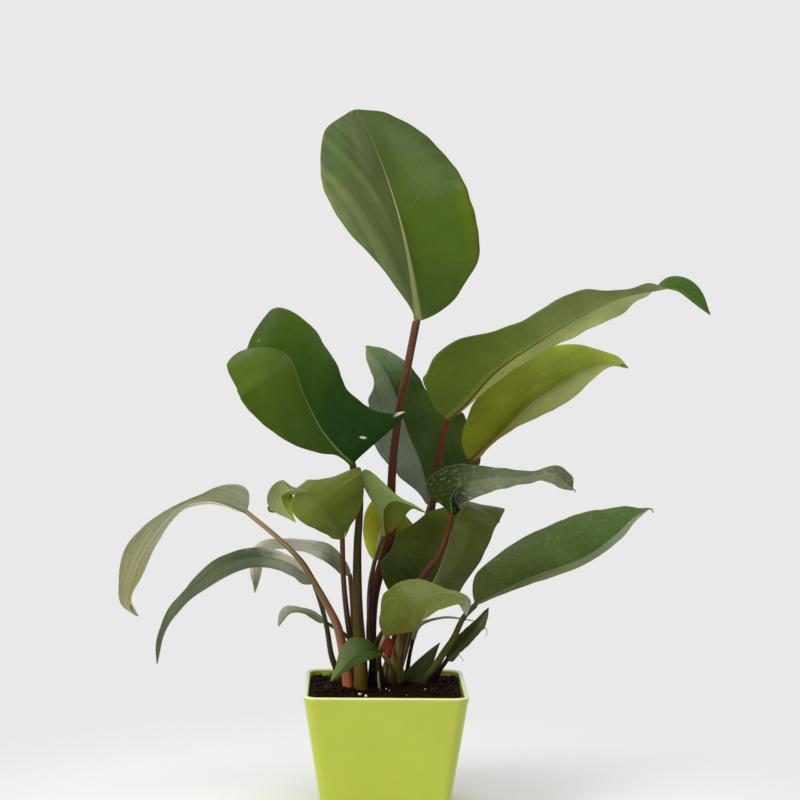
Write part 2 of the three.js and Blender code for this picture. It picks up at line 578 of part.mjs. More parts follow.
// Width of a half at a place along the spine, rounded off at the base and at the tip.
function reachOf(side, along) {
  const round = (distance) => Math.sqrt(1 - (1 - Math.min(distance / END_ROUNDING, 1)) ** 2);
  return Math.max(valueAt(side.widths, along), 0) * round(along) * round(1 - along);
}

function bladeGeometry(leaf) {
  const curve = smoothCurve(leaf.spine);
  const steps = leaf.large ? LARGE_BLADE_STEPS : BLADE_STEPS;
  const reaches = leaf.large ? LARGE_SIDE_STATIONS : SIDE_STATIONS;
  const chord = curve.getPointAt(1).sub(curve.getPointAt(0)).normalize();
  const upper = [];
  const lower = [];
  for (let step = 0; step <= steps; step += 1) {
    const even = step / steps;
    const along = mix(even, (1 - Math.cos(Math.PI * even)) / 2, END_CROWDING);
    const middle = curve.getPointAt(along);
    const steady = (leaf.steady ?? 0) * THREE.MathUtils.smoothstep(along, 0, 0.2);
    const tangent = curve.getTangentAt(along).lerp(chord, steady).normalize();
    const facing = directionAt(leaf.face, along);
    const normal = facing.addScaledVector(tangent, -facing.dot(tangent)).normalize();
    const left = new THREE.Vector3().crossVectors(normal, tangent);
    const neck = mix(leaf.radius[1], TIP_HALF_WIDTH, along);
    const rib = neck * RIB_SHARE;
    const keel = neck * (1 - along) + BLADE_THICKNESS / 2;

    // A point of the section, at a share of the way from the rib to the edge of one half.
    const across = (side, sign, reach) => {
      const out = mix(rib, Math.max(neck, reachOf(side, along)), reach);
      const lift = radians(valueAt(side.lift, along));
      const ripple = leaf.wave[0] * reach ** 3 * Math.sin(2 * Math.PI * leaf.wave[1] * along + sign)
        * Math.sin(Math.PI * along);
      return middle.clone()
        .addScaledVector(left, sign * out * Math.cos(lift))
        .addScaledVector(normal, out * Math.sin(lift) + ripple);
    };
    const row = [
      ...[...reaches].reverse().map((reach) => across(leaf.right, -1, reach)),
      across(leaf.right, -1, 0),
      middle,
      across(leaf.left, 1, 0),
      ...reaches.map((reach) => across(leaf.left, 1, reach)),
    ];
    upper.push(row.map((point) => point.clone().addScaledVector(normal, BLADE_THICKNESS / 2)));
    lower.push(row.map((point) => point.clone().addScaledVector(normal,
      -BLADE_THICKNESS / 2 - (point === middle ? keel : 0))));
  }
  return shell(upper, lower);
}

// The whole plant

function named(name, geometry, finish) {
  const mesh = new THREE.Mesh(geometry, new THREE.MeshStandardMaterial(finish));
  mesh.name = name;
  return mesh;
}

const plant = new THREE.Group();
plant.add(named('planter', planterGeometry(), LIME_GLAZE));
plant.add(named('soil', soilGeometry(Object.values({ ...LEAVES, ...SHOOTS }).map(petioleHole)), POTTING_SOIL));
for (const [name, leaf] of Object.entries(LEAVES)) {
  plant.add(named(`blade_${name}`, bladeGeometry(leaf), { color: leaf.color, roughness: 0.4 }));
  plant.add(named(`petiole_${name}`, petioleGeometry(leaf), leaf.stalk));
}
for (const [name, shoot] of Object.entries(SHOOTS)) {
  plant.add(named(name, petioleGeometry(shoot), shoot.stalk));
}

export default plant;
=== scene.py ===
"""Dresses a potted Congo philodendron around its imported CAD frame.

Lengths in the plant's data are millimetres, as in the part's source. Meshes are in metres.
+X is the viewer's right, -Y faces the viewer and +Z is up. The origin is the centre of the foot.
"""

from __future__ import annotations

import logging
import math
from dataclasses import dataclass, field
from enum import Enum
from functools import reduce

import bpy
import numpy as np
from bpy.types import Material, Node, NodeSocket as Socket, NodeTree
from mathutils import Matrix, Vector

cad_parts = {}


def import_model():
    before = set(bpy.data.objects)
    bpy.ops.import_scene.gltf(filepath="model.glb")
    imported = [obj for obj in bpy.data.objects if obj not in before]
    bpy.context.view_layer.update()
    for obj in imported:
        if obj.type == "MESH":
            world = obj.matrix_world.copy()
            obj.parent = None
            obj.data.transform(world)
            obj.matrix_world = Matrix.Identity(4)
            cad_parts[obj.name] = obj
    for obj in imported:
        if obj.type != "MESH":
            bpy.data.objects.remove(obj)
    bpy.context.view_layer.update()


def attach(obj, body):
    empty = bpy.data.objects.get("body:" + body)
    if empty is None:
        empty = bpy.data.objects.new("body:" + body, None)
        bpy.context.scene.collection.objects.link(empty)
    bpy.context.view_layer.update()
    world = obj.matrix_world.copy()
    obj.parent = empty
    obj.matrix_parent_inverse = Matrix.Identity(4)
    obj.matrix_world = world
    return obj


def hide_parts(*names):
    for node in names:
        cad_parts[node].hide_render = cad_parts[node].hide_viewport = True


LOG = logging.getLogger("philodendron")
MM = 0.001
BODY = "root"
Array = np.ndarray
Pair = tuple[float, float]
Triple = tuple[float, float, float]
Points = tuple[Triple, ...]
Random = np.random.Generator

# The side veins: their spacing in millimetres, their slant, and their curl for each millimetre.
VEIN_SPACING = 15.0
VEIN_SLANT = 0.62
VEIN_CURL = 0.007

# ---- Curves and even values


def unit(vectors: Array) -> Array:
    """Vectors divided by their lengths."""
    return vectors / np.linalg.norm(vectors, axis=-1, keepdims=True)


def smooth_step(values: Array, low: float, high: float) -> Array:
    """0 below low, 1 above high, and 3t^2 - 2t^3 between them."""
    share = np.clip((values - low) / (high - low), 0, 1)
    return share * share * (3 - 2 * share)


def span_of(spans: int, place: Array) -> tuple[Array, Array]:
    """Finds the even span that each place lies in.

    Args:
        spans: number of spans.
        place: places from 0 to 1.

    Returns:
        The number of the span, and the share, for each place.
    """
    where = place * spans
    index = np.minimum(np.floor(where).astype(int), spans - 1)
    return index, where - index


def even_value(values: tuple[float, ...], along: Array) -> Array:
    """A smooth value between evenly spaced numbers.

    The cubic through the two nearest numbers has the slope of the chord over its neighbours.

    Args:
        values: the numbers, from the base to the tip.
        along: places from 0 to 1.

    Returns:
        The value at each place.
    """
    numbers = np.asarray(values, float)
    last = len(numbers) - 1
    index, share = span_of(last, along)
    before, first, second, after = (numbers[np.clip(index + step, 0, last)] for step in (-1, 0, 1, 2))
    bend = before - 2.5 * first + 2 * second - after / 2
    twist = 1.5 * (first - second) + (after - before) / 2
    return first + share * ((second - before) / 2 + share * (bend + share * twist))


def even_direction(directions: Points, along: Array) -> Array:
    """Unit vectors that turn smoothly between evenly spaced directions.

    Args:
        directions: the directions, from the base to the tip.
        along: places from 0 to 1.

    Returns:
        One unit vector for each place.
    """
    fixed = unit(np.asarray(directions, float))
    index, share = span_of(len(fixed) - 1, along)
    share = smooth_step(share, 0, 1)[:, None]
    return unit(fixed[index] * (1 - share) + fixed[index + 1] * share)


class Spline:
    """A centripetal curve through points, measured by its arc length."""

    SAMPLES = 200
    NUDGE = 1e-4

    def __init__(self, points: Points) -> None:
        """Measures the curve.

        Args:
            points: what the curve passes through, in millimetres.
        """
        given = np.asarray(points, float)
        self.points = np.vstack([2 * given[0] - given[1], given, 2 * given[-1] - given[-2]])
        self.places = np.linspace(0, 1, self.SAMPLES + 1)
        steps = np.linalg.norm(np.diff(self.raw(self.places), axis=0), axis=1)
        self.lengths = np.concatenate([[0], np.cumsum(steps)])

    @property
    def length(self) -> float:
        """Length of the whole curve."""
        return float(self.lengths[-1])

    def raw(self, place: Array) -> Array:
        """Points at places that are even between the given points.

        A cubic runs between each two points. Its slopes come from time steps that are the root of
        each distance.

        Args:
            place: places from 0 to 1.

        Returns:
            One point for each place.
        """
        index, share = span_of(len(self.points) - 3, np.clip(place, 0, 1))
        share = share[:, None]
        p0, p1, p2, p3 = (self.points[index + step] for step in range(4))
        pairs = (p0, p1), (p1, p2), (p2, p3)
        t0, t1, t2 = (np.sqrt(np.linalg.norm(b - a, axis=1))[:, None] for a, b in pairs)
        first = ((p1 - p0) / t0 - (p2 - p0) / (t0 + t1) + (p2 - p1) / t1) * t1
        second = ((p2 - p1) / t1 - (p3 - p1) / (t1 + t2) + (p3 - p2) / t2) * t1
        bend = -3 * p1 + 3 * p2 - 2 * first - second
        twist = 2 * p1 - 2 * p2 + first + second
        return p1 + share * (first + share * (bend + share * twist))

    def place_of(self, along: Array) -> Array:
        """Raw places of shares of the length."""
        return np.interp(np.asarray(along, float) * self.length, self.lengths, self.places)

    def at(self, along: Array) -> Array:
        """Points at shares of the length."""
        return self.raw(self.place_of(along))

    def tangents(self, along: Array) -> Array:
        """Which way the curve runs, from two points close to each place.

        Args:
            along: shares of the length.

        Returns:
            One unit tangent for each share.
        """
        place = self.place_of(along)
        ahead = self.raw(np.minimum(place + self.NUDGE, 1))
        return unit(ahead - self.raw(np.maximum(place - self.NUDGE, 0)))


# ---- Meshes


@dataclass
class Surface:
    """A closed surface before it becomes a mesh: points in millimetres, quads, and values."""

    points: Array
    faces: Array
    values: dict[str, Array] = field(default_factory=dict)

    def outward(self) -> Surface:
        """Turns the faces over if they enclose a negative volume.

        Returns:
            The surface itself.
        """
        corners = self.points[self.faces[:, :4]]
        halves = np.einsum("ij,ij->i", corners[:, 0], np.cross(corners[:, 1], corners[:, 2]))
        others = np.einsum("ij,ij->i", corners[:, 0], np.cross(corners[:, 2], corners[:, -1]))
        if (halves + others).sum() < 0:
            self.faces = self.faces[:, ::-1]
        return self


def ring_faces(rows: int, columns: int) -> Array:
    """Quads between equal closed loops that follow each other.

    Args:
        rows: number of loops.
        columns: points in each loop.

    Returns:
        Corner numbers, four to a quad.
    """
    row, column = np.meshgrid(np.arange(rows - 1), np.arange(columns), indexing="ij")
    after = (column + 1) % columns
    quads = [row * columns + column, row * columns + after]
    quads += [(row + 1) * columns + after, (row + 1) * columns + column]
    return np.stack(quads, axis=-1).reshape(-1, 4)


def slit_faces(first: int, columns: int) -> Array:
    """Quads that close a loop across its middle, from its first half to its second half.

    Args:
        first: number of the loop's first point.
        columns: points in the loop, an even number.

    Returns:
        Corner numbers, four to a quad.
    """
    step = np.arange(columns // 2 - 1)
    near = [first + step, first + step + 1]
    far = [first + columns - 2 - step, first + columns - 1 - step]
    return np.stack(near + far, axis=-1)


def loft(loops: Array, values: dict[str, Array] | None = None) -> Surface:
    """Joins equal closed loops and closes both ends.

    Args:
        loops: points as rows, columns and coordinates.
        values: a value for each point, shaped as the loops are.

    Returns:
        The closed surface, facing out.
    """
    rows, columns = loops.shape[:2]
    ends = [slit_faces(0, columns)[:, ::-1], slit_faces((rows - 1) * columns, columns)]
    faces = np.vstack([ring_faces(rows, columns), *ends])
    flat = {name: value.reshape(rows * columns, -1) for name, value in (values or {}).items()}
    return Surface(loops.reshape(-1, 3), faces, flat).outward()


def joined(surfaces: list[Surface]) -> Surface:
    """Several surfaces as one.

    Args:
        surfaces: surfaces that have the same kinds of values and of faces.

    Returns:
        One surface with all their points and faces.
    """
    starts = np.cumsum([0] + [len(surface.points) for surface in surfaces[:-1]])
    faces = [surface.faces + start for surface, start in zip(surfaces, starts)]
    names = surfaces[0].values
    values = {name: np.vstack([surface.values[name] for surface in surfaces]) for name in names}
    return Surface(np.vstack([surface.points for surface in surfaces]), np.vstack(faces), values)


def ring_turns(sides: int) -> Array:
    """Places round a ring in turns, one for each side."""
    return (np.arange(sides) + 0.5) / sides


def tube(curve: Spline, share: Array, swell: Array, heading: Array | None = None) -> Surface:
    """A closed tube of rings at even steps along a curve, each ring square to it.

    Args:
        curve: the middle line.
        share: the share of the way up that each ring reports.
        swell: radii, as rings and sides.
        heading: the way that the line points at its last point, if it is known.

    Returns:
        The surface with its stalk_place values.
    """
    along = np.linspace(0, 1, len(swell))
    line = curve.at(along)
    ahead = np.gradient(line, axis=0)
    if heading is not None:
        ahead[-1] = heading
    ahead = unit(ahead)
    across = unit(np.cross(np.array([0.0, 1.0, 0.0]), ahead))
    over = np.cross(ahead, across)
    turn = ring_turns(swell.shape[1])
    angle = 2 * np.pi * turn[None, :]
    loops = line[:, None] + across[:, None] * (swell * np.cos(angle))[:, :, None]
    loops = loops + over[:, None] * (swell * np.sin(angle))[:, :, None]
    place = share[:, None], turn, along[:, None] * curve.length * MM
    return loft(loops, {"stalk_place": np.stack([np.broadcast_to(v, swell.shape) for v in place], axis=-1)})


class Slot(Enum):
    """The record's material slots."""

    GLAZE = "lime_glaze"
    SOIL = "potting_mix"
    GREEN = "leaf_green"
    DARK = "leaf_dark"
    GREY = "leaf_grey_green"
    YELLOW = "leaf_yellow"
    LIGHT = "leaf_light"
    RED = "petiole_red"
    OLIVE = "petiole_olive"
    TAN = "petiole_tan"
    ROOT = "root"


def add_piece(name: str, surface: Surface, material: Material, slot: Slot, *replaced: str) -> None:
    """Makes a smooth mesh object at the origin, fixes it to the plant, and reports it.

    Args:
        name: name of the piece.
        surface: what it looks like, in millimetres.
        material: its finish.
        slot: the record's material slot.
        replaced: names of the CAD nodes that it stands for.
    """
    mesh = bpy.data.meshes.new(name)
    mesh.from_pydata((surface.points * MM).tolist(), [], surface.faces.tolist())
    mesh.polygons.foreach_set("use_smooth", np.ones(len(mesh.polygons), bool))
    for label, value in surface.values.items():
        attribute = mesh.attributes.new(label, "FLOAT_VECTOR", "POINT")
        attribute.data.foreach_set("vector", np.asarray(value, np.float32).ravel())
    mesh.materials.append(material)
    mesh.validate()
    mesh.update()
    piece = bpy.data.objects.new(name, mesh)
    bpy.context.scene.collection.objects.link(piece)
    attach(piece, BODY)
    if replaced:
        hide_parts(*replaced)
    LOG.info("%s: %d faces, slot %s", name, len(mesh.polygons), slot.value)


# ---- Shader nodes

Feed = float | tuple[float, ...] | Socket
Inputs = dict[int | str, Feed]


def linear(code: str) -> tuple[float, float, float, float]:
    """A screen colour as the linear colour that shaders take.

    Args:
        code: red, green and blue of the screen colour, two digits each.

    Returns:
        The colour with an opacity of 1.
    """
    shares = [int(code[i : i + 2], 16) / 255 for i in (0, 2, 4)]
    red, green, blue = (s / 12.92 if s <= 0.04045 else ((s + 0.055) / 1.055) ** 2.4 for s in shares)
    return red, green, blue, 1.0


class NodeSheet:
    """Short calls for adding and joining the nodes of one node tree."""

    def __init__(self, tree: NodeTree) -> None:
        """Starts on a tree."""
        self.tree = tree

    def feed(self, node: Node, inputs: Inputs) -> None:
        """Joins inputs of a node to other sockets, or sets their values.

        Args:
            node: the node.
            inputs: values or sockets, by the name or number of the input.
        """
        for key, value in inputs.items():
            if isinstance(value, Socket):
                self.tree.links.new(value, node.inputs[key])
            else:
                node.inputs[key].default_value = value

    def node(self, kind: str, inputs: Inputs, **settings: object) -> Node:
        """Adds a node.

        Args:
            kind: Blender's name of the node type, without its prefix.
            inputs: values or sockets for its inputs.
            settings: properties of the node.

        Returns:
            The node.
        """
        made = self.tree.nodes.new("ShaderNode" + kind)
        for key, value in settings.items():
            setattr(made, key, value)
        self.feed(made, inputs)
        return made

    def math(self, operation: str, first: Feed, second: Feed = 0.0) -> Socket:
        """The result of a Math node."""
        return self.node("Math", {0: first, 1: second}, operation=operation).outputs[0]

    def times(self, *values: Feed) -> Socket:
        """The product of values, multiplied in turn."""
        return reduce(lambda first, second: self.math("MULTIPLY", first, second), values)

    def plus(self, *values: Feed) -> Socket:
        """The sum of values, added in turn."""
        return reduce(lambda first, second: self.math("ADD", first, second), values)

    def minus(self, first: Feed, second: Feed) -> Socket:
        """The difference of two values."""
        return self.math("SUBTRACT", first, second)

    def centred(self, value: Socket, size: float) -> Socket:
        """A noise value minus a half, times a size."""
        return self.times(self.minus(value, 0.5), size)

    def swing(self, value: Socket, size: float) -> Socket:
        """One plus a centred noise value."""
        return self.plus(self.centred(value, size), 1.0)

    def vector(self, operation: str, first: Feed, second: Feed) -> Socket:
        """The result of a Vector Math node."""
        return self.node("VectorMath", {0: first, 1: second}, operation=operation).outputs[0]

    def mix(self, share: Feed, first: Feed, second: Feed, blend: str = "MIX") -> Socket:
        """A colour between two others."""
        inputs: Inputs = {0: share, 6: first, 7: second}
        return self.node("Mix", inputs, data_type="RGBA", blend_type=blend, clamp_factor=True).outputs[2]

    def between(self, share: Feed, first: Feed, second: Feed) -> Socket:
        """A number between two others."""
        return self.node("Mix", {0: share, 2: first, 3: second}, clamp_factor=True).outputs[0]

    def scaled(self, colour: Socket, tone: Socket) -> Socket:
        """A colour times a number."""
        return self.node("VectorMath", {0: colour, "Scale": tone}, operation="SCALE").outputs[0]

    def rise(self, value: Feed, low: Feed, high: Feed, out_low: float = 0.0, out_high: float = 1.0) -> Socket:
        """A smooth step of a value from low to high."""
        inputs: Inputs = {0: value, 1: low, 2: high, 3: out_low, 4: out_high}
        return self.node("MapRange", inputs, interpolation_type="SMOOTHSTEP").outputs[0]

    def noise(self, vector: Socket, scale: float, detail: float = 3.0, rough: float = 0.55) -> Socket:
        """Values of a noise between 0 and 1."""
        inputs: Inputs = {"Vector": vector, "Scale": scale, "Detail": detail, "Roughness": rough}
        return self.node("TexNoise", inputs).outputs[0]

    def stretched(self, vector: Socket, scale: Triple) -> Socket:
        """A vector with each coordinate scaled."""
        return self.node("Mapping", {"Vector": vector, "Scale": scale}).outputs[0]

    def flat(self, first: Socket, first_scale: float, second: Socket, second_scale: float) -> Socket:
        """A vector of two scaled values and zero."""
        inputs: Inputs = {0: self.times(first, first_scale), 1: self.times(second, second_scale)}
        return self.node("CombineXYZ", inputs).outputs[0]

    def parts(self, vector: Socket) -> tuple[Socket, Socket, Socket]:
        """The three coordinates of a vector."""
        made = self.node("SeparateXYZ", {0: vector})
        return made.outputs[0], made.outputs[1], made.outputs[2]

    def attribute(self, name: str) -> Socket:
        """An attribute of the piece as a vector."""
        return self.node("Attribute", {}, attribute_name=name).outputs["Vector"]

    def place(self) -> Socket:
        """Object coordinates."""
        return self.node("TexCoord", {}).outputs["Object"]

    def group(self, tree: NodeTree, inputs: Inputs) -> Node:
        """Places a node group and feeds its inputs by name."""
        return self.node("Group", inputs, node_tree=tree)

    def finished(self, **results: Feed) -> NodeTree:
        """Feeds the outputs of a node group by name, and returns the group's tree."""
        self.feed(self.tree.nodes["Group Output"], results)
        return self.tree

    def surface(self, colour: Socket, rough: Socket, height: Socket, depth: float, specular: float = 0.5) -> None:
        """Feeds the surface shader of a material.

        Args:
            colour: the base colour.
            rough: the roughness.
            height: a height between 0 and 1.
            depth: what a height of 1 stands for, in metres.
            specular: strength of the shine.
        """
        bump = self.node("Bump", {"Height": height, "Distance": depth, "Strength": 1.0}).outputs[0]
        inputs = {"Base Color": colour, "Roughness": rough, "Normal": bump, "Specular IOR Level": specular}
        self.feed(self.tree.nodes["Principled BSDF"], inputs)

    def end_with(self, end: str, share: Socket, first: Node, second: Node) -> None:
        """Feeds the last node of the tree with a blend of two shaders."""
        both = self.node("MixShader", {0: share, 1: first.outputs[0], 2: second.outputs[0]})
        self.tree.links.new(both.outputs[0], self.tree.nodes[end].inputs[0])


class SocketKind(Enum):
    """Kinds of node group sockets."""

    VALUE = "NodeSocketFloat"
    COLOUR = "NodeSocketColor"
    VECTOR = "NodeSocketVector"


def new_group(
    name: str, inputs: dict[str, SocketKind], outputs: dict[str, SocketKind]
) -> tuple[NodeSheet, dict[str, Socket]]:
    """Starts a shader node group with named sockets.

    Args:
        name: name of the group.
        inputs: kinds of its inputs by name.
        outputs: kinds of its outputs by name.

    Returns:
        A sheet for filling the group, and the group's inputs as sockets to read from.
    """
    tree = bpy.data.node_groups.new(name, "ShaderNodeTree")
    for way, sockets in (("INPUT", inputs), ("OUTPUT", outputs)):
        for label, kind in sockets.items():
            tree.interface.new_socket(name=label, in_out=way, socket_type=kind.value)
    given = tree.nodes.new("NodeGroupInput")
    tree.nodes.new("NodeGroupOutput")
    return NodeSheet(tree), {socket.name: socket for socket in given.outputs if socket.name}


def new_material(name: str) -> tuple[Material, NodeSheet]:
    """Starts a material.

    Args:
        name: name of the material.

    Returns:
        The material, and a sheet for its nodes.
    """
    material = bpy.data.materials.new(name)
    material.use_nodes = True
    return material, NodeSheet(material.node_tree)


# ---- Finishes

FACES = ("left", "right", "under_left", "under_right")
TISSUE_COLOURS = (*(f"{face}_{end}" for face in FACES for end in ("near", "far")), "rib", "edge", "tip")
TISSUE_NUMBERS = ("vein", "mottle", "dry", "rib_width", "streak", "turn_low", "turn_high", "flecks", "fold_shade_and_bump")
STALK_COLOURS = ("foot", "middle", "top", "blush")
SKIN_OUTPUTS = {"Colour": SocketKind.COLOUR, "Roughness": SocketKind.VALUE, "Height": SocketKind.VALUE}
SUN_TINT = (1.35, 1.12, 0.55, 1.0)
SUN_STRENGTH = 0.3
FLECK_TINT = (0.42, 0.48, 0.30, 1.0)
STALK_FLECK = "B9A27A"
STALK_FLECK_STRENGTH = 0.08


def leaf_tissue_group() -> NodeTree:
    """Builds the group that colours a blade.

    It reads two attributes of the blade. leaf_place is the share of the way along the midrib, the
    share across from -1 at the right edge to 1 at the left edge, and 0 on the upper face or 1 on
    the under face. leaf_size is the distance along the midrib and away from it in metres, and the
    distance from the midrib as a share of the midrib's own half width.

    Each half of each face goes from its near colour to its far colour along the midrib. These
    colours are partly painted light: a greyer half is painted sheen, a darker half painted shade,
    and a paler yellow face painted light shining through the blade. A vein follows each line where
    distance along - distance away * slant - distance away squared * curl is a whole number of vein
    spacings. The midrib shows as a line that narrows towards the tip with the cube of the way left.
    The fold strength gives the left half bands of painted shade and painted highlight across its
    folds, and the same folds as bumps.

    Returns:
        The group's tree.
    """
    colours = dict.fromkeys(TISSUE_COLOURS, SocketKind.COLOUR)
    sheet, given = new_group("leaf_tissue", colours | dict.fromkeys(TISSUE_NUMBERS, SocketKind.VALUE), SKIN_OUTPUTS)
    along, across, side = sheet.parts(sheet.attribute("leaf_place"))
    run, away, rib_share = sheet.parts(sheet.attribute("leaf_size"))
    away, reach = sheet.math("ABSOLUTE", away), sheet.math("ABSOLUTE", across)
    place = sheet.place()

    warp = sheet.centred(sheet.noise(place, 35.0, 2.0), 0.016)
    line = sheet.minus(sheet.plus(run, warp), sheet.times(away, VEIN_SLANT))
    line = sheet.minus(line, sheet.times(away, away, VEIN_CURL / MM))
    turn = sheet.math("FRACT", sheet.math("DIVIDE", line, VEIN_SPACING * MM))
    vein = sheet.rise(sheet.math("ABSOLUTE", sheet.minus(turn, 0.5)), 0.42, 0.5)
    fade = sheet.times(sheet.rise(rib_share, 0.4, 2.5), sheet.rise(reach, 1.0, 0.6))
    vein = sheet.times(vein, fade, sheet.rise(sheet.noise(place, 16.0, 2.0), 0.45, 0.75))

    broad, blotch = sheet.noise(place, 11.0, 2.0), sheet.noise(place, 38.0, 4.0)
    warmth = sheet.noise(sheet.stretched(place, (1.0, 1.3, 0.7)), 13.0, 2.0)
    grain = sheet.noise(place, 420.0, 2.0, 0.6)
    streak = sheet.noise(sheet.flat(away, 420.0, run, 14.0), 1.0, 2.0)
    tone = sheet.times(sheet.swing(broad, 1.5), sheet.swing(blotch, 0.9), sheet.swing(grain, 0.5))
    lined = sheet.between(given["streak"], 1.0, sheet.swing(streak, 1.6))
    tone = sheet.times(sheet.between(given["mottle"], 1.0, tone), lined)
    # Painted shade and painted highlight: darker and lighter bands across the folds of the left half, on the same
    # noise that bumps them.
    folds = sheet.flat(sheet.minus(run, sheet.times(away, 2.6)), 30.0, away, 6.0)
    folds = sheet.noise(folds, 1.0, 1.5)
    half = sheet.rise(across, -0.02, 0.02)
    banded = sheet.times(half, sheet.rise(reach, 0.08, 0.3), given["fold_shade_and_bump"])
    tone = sheet.times(tone, sheet.between(banded, 1.0, sheet.swing(folds, 2.4)))

    ripe = sheet.rise(sheet.plus(along, sheet.centred(blotch, 0.25)), given["turn_low"], given["turn_high"])
    # The near and far colours of each half carry painted sheen and painted shade as well as the blade's own colour.
    shown = [sheet.mix(ripe, given[f"{face}_near"], given[f"{face}_far"]) for face in FACES]
    base = sheet.mix(side, sheet.mix(half, shown[1], shown[0]), sheet.mix(half, shown[3], shown[2]))
    sunny = sheet.mix(1.0, base, SUN_TINT, "MULTIPLY")
    base = sheet.mix(sheet.times(sheet.rise(warmth, 0.45, 0.75), SUN_STRENGTH), base, sunny)
    base = sheet.scaled(base, tone)
    strokes = sheet.noise(sheet.stretched(place, (1.0, 1.0, 2.2)), 170.0, 4.0, 0.7)
    strokes = sheet.times(sheet.rise(strokes, 0.54, 0.68), given["flecks"])
    base = sheet.mix(strokes, base, sheet.mix(0.45, base, FLECK_TINT))
    base = sheet.mix(sheet.times(vein, given["vein"]), base, given["rib"])

    left_over = sheet.minus(1.0, along)
    width = sheet.plus(sheet.times(left_over, left_over, left_over, 0.78), 0.12)
    width = sheet.times(width, given["rib_width"])
    rib = sheet.rise(rib_share, width, sheet.times(width, 0.45))
    base = sheet.mix(sheet.times(rib, sheet.rise(along, 0.95, 0.45, 0.25, 1.0)), base, given["rib"])
    base = sheet.mix(sheet.rise(reach, 0.965, 1.0, 0.0, 0.55), base, given["edge"])
    start = sheet.minus(1.0, given["dry"])
    dry = sheet.rise(sheet.plus(along, sheet.centred(grain, 0.02)), start, sheet.plus(start, 0.01))
    dry = sheet.times(dry, sheet.rise(given["dry"], 0.001, 0.01))
    rough = sheet.plus(sheet.centred(blotch, 0.3), 0.42, sheet.times(side, 0.14))
    height = sheet.minus(blotch, sheet.times(vein, 0.15))
    height = sheet.plus(height, sheet.times(folds, banded, 6.0), sheet.times(streak, given["streak"], 0.6))
    return sheet.finished(Colour=sheet.mix(dry, base, given["tip"]), Roughness=rough, Height=height)


def leaf_spot_group() -> NodeTree:
    """Builds the group that lays one soft spot on a blade.

    The spot covers the places whose distance from its centre in leaf_place, divided by its reach
    along and across and roughened by noise, is under 1.

    Returns:
        The group's tree.
    """
    value, colour, vector = SocketKind.VALUE, SocketKind.COLOUR, SocketKind.VECTOR
    inputs = {"Colour": colour, "Centre": vector, "Reach": vector, "Tint": colour, "Strength": value}
    sheet, given = new_group("leaf_spot", inputs, {"Colour": colour})
    off = sheet.vector("SUBTRACT", sheet.attribute("leaf_place"), given["Centre"])
    far = sheet.node("VectorMath", {0: sheet.vector("DIVIDE", off, given["Reach"])}, operation="LENGTH")
    far = sheet.plus(far.outputs["Value"], sheet.centred(sheet.noise(sheet.place(), 260.0), 0.6))
    mask = sheet.times(sheet.rise(far, 1.0, 0.4), given["Strength"])
    return sheet.finished(Colour=sheet.mix(mask, given["Colour"], given["Tint"]))


def stalk_skin_group() -> NodeTree:
    """Builds the group that colours a stalk.

    stalk_place is the share of the way up the stalk, the angle round it in turns, and the length
    so far in metres. Streaks are noise that is stretched along the stalk, and flecks are fine
    noise above a limit.

    Returns:
        The group's tree.
    """
    sheet, given = new_group("stalk_skin", dict.fromkeys(STALK_COLOURS, SocketKind.COLOUR), SKIN_OUTPUTS)
    up, turn, run = sheet.parts(sheet.attribute("stalk_place"))
    place = sheet.place()
    up = sheet.plus(up, sheet.centred(sheet.noise(place, 45.0), 0.35))
    base = sheet.mix(sheet.rise(up, 0.0, 0.45), given["foot"], given["middle"])
    base = sheet.mix(sheet.rise(up, 0.5, 1.0), base, given["top"])
    streak = sheet.noise(sheet.flat(turn, 9.0, run, 26.0), 1.6)
    sides = sheet.noise(sheet.flat(turn, 3.0, run, 7.0), 1.3, 2.0)
    base = sheet.mix(sheet.rise(sides, 0.46, 0.62, 0.0, 0.75), base, given["blush"])
    base = sheet.scaled(base, sheet.plus(streak, 0.5))
    dots = sheet.noise(sheet.stretched(place, (1.0, 1.0, 0.45)), 700.0, 1.0)
    flecks = sheet.times(sheet.rise(dots, 0.62, 0.72), STALK_FLECK_STRENGTH)
    colour = sheet.mix(flecks, base, linear(STALK_FLECK))
    rough = sheet.plus(sheet.times(streak, 0.2), 0.36)
    height = sheet.plus(sheet.times(streak, 0.7), sheet.times(dots, 0.3))
    return sheet.finished(Colour=colour, Roughness=rough, Height=height)


@dataclass(frozen=True)
class Spot:
    """A soft spot on a blade: its centre along and across, its reach in both ways, and its colour."""

    along: float
    across: float
    length: float
    width: float
    tint: str
    strength: float
    under: float = 0.0
    reach_through: float = 0.5

    def lay(self, sheet: NodeSheet, group: NodeTree, shown: Socket) -> Socket:
        """Lays the spot on a colour.

        Args:
            sheet: the material's nodes.
            group: the leaf spot group.
            shown: the colour under the spot.

        Returns:
            The colour with the spot.
        """
        centre, reach = (self.along, self.across, self.under), (self.length, self.width, self.reach_through)
        inputs = {"Colour": shown, "Centre": centre, "Reach": reach, "Tint": linear(self.tint)}
        return sheet.group(group, inputs | {"Strength": self.strength}).outputs["Colour"]


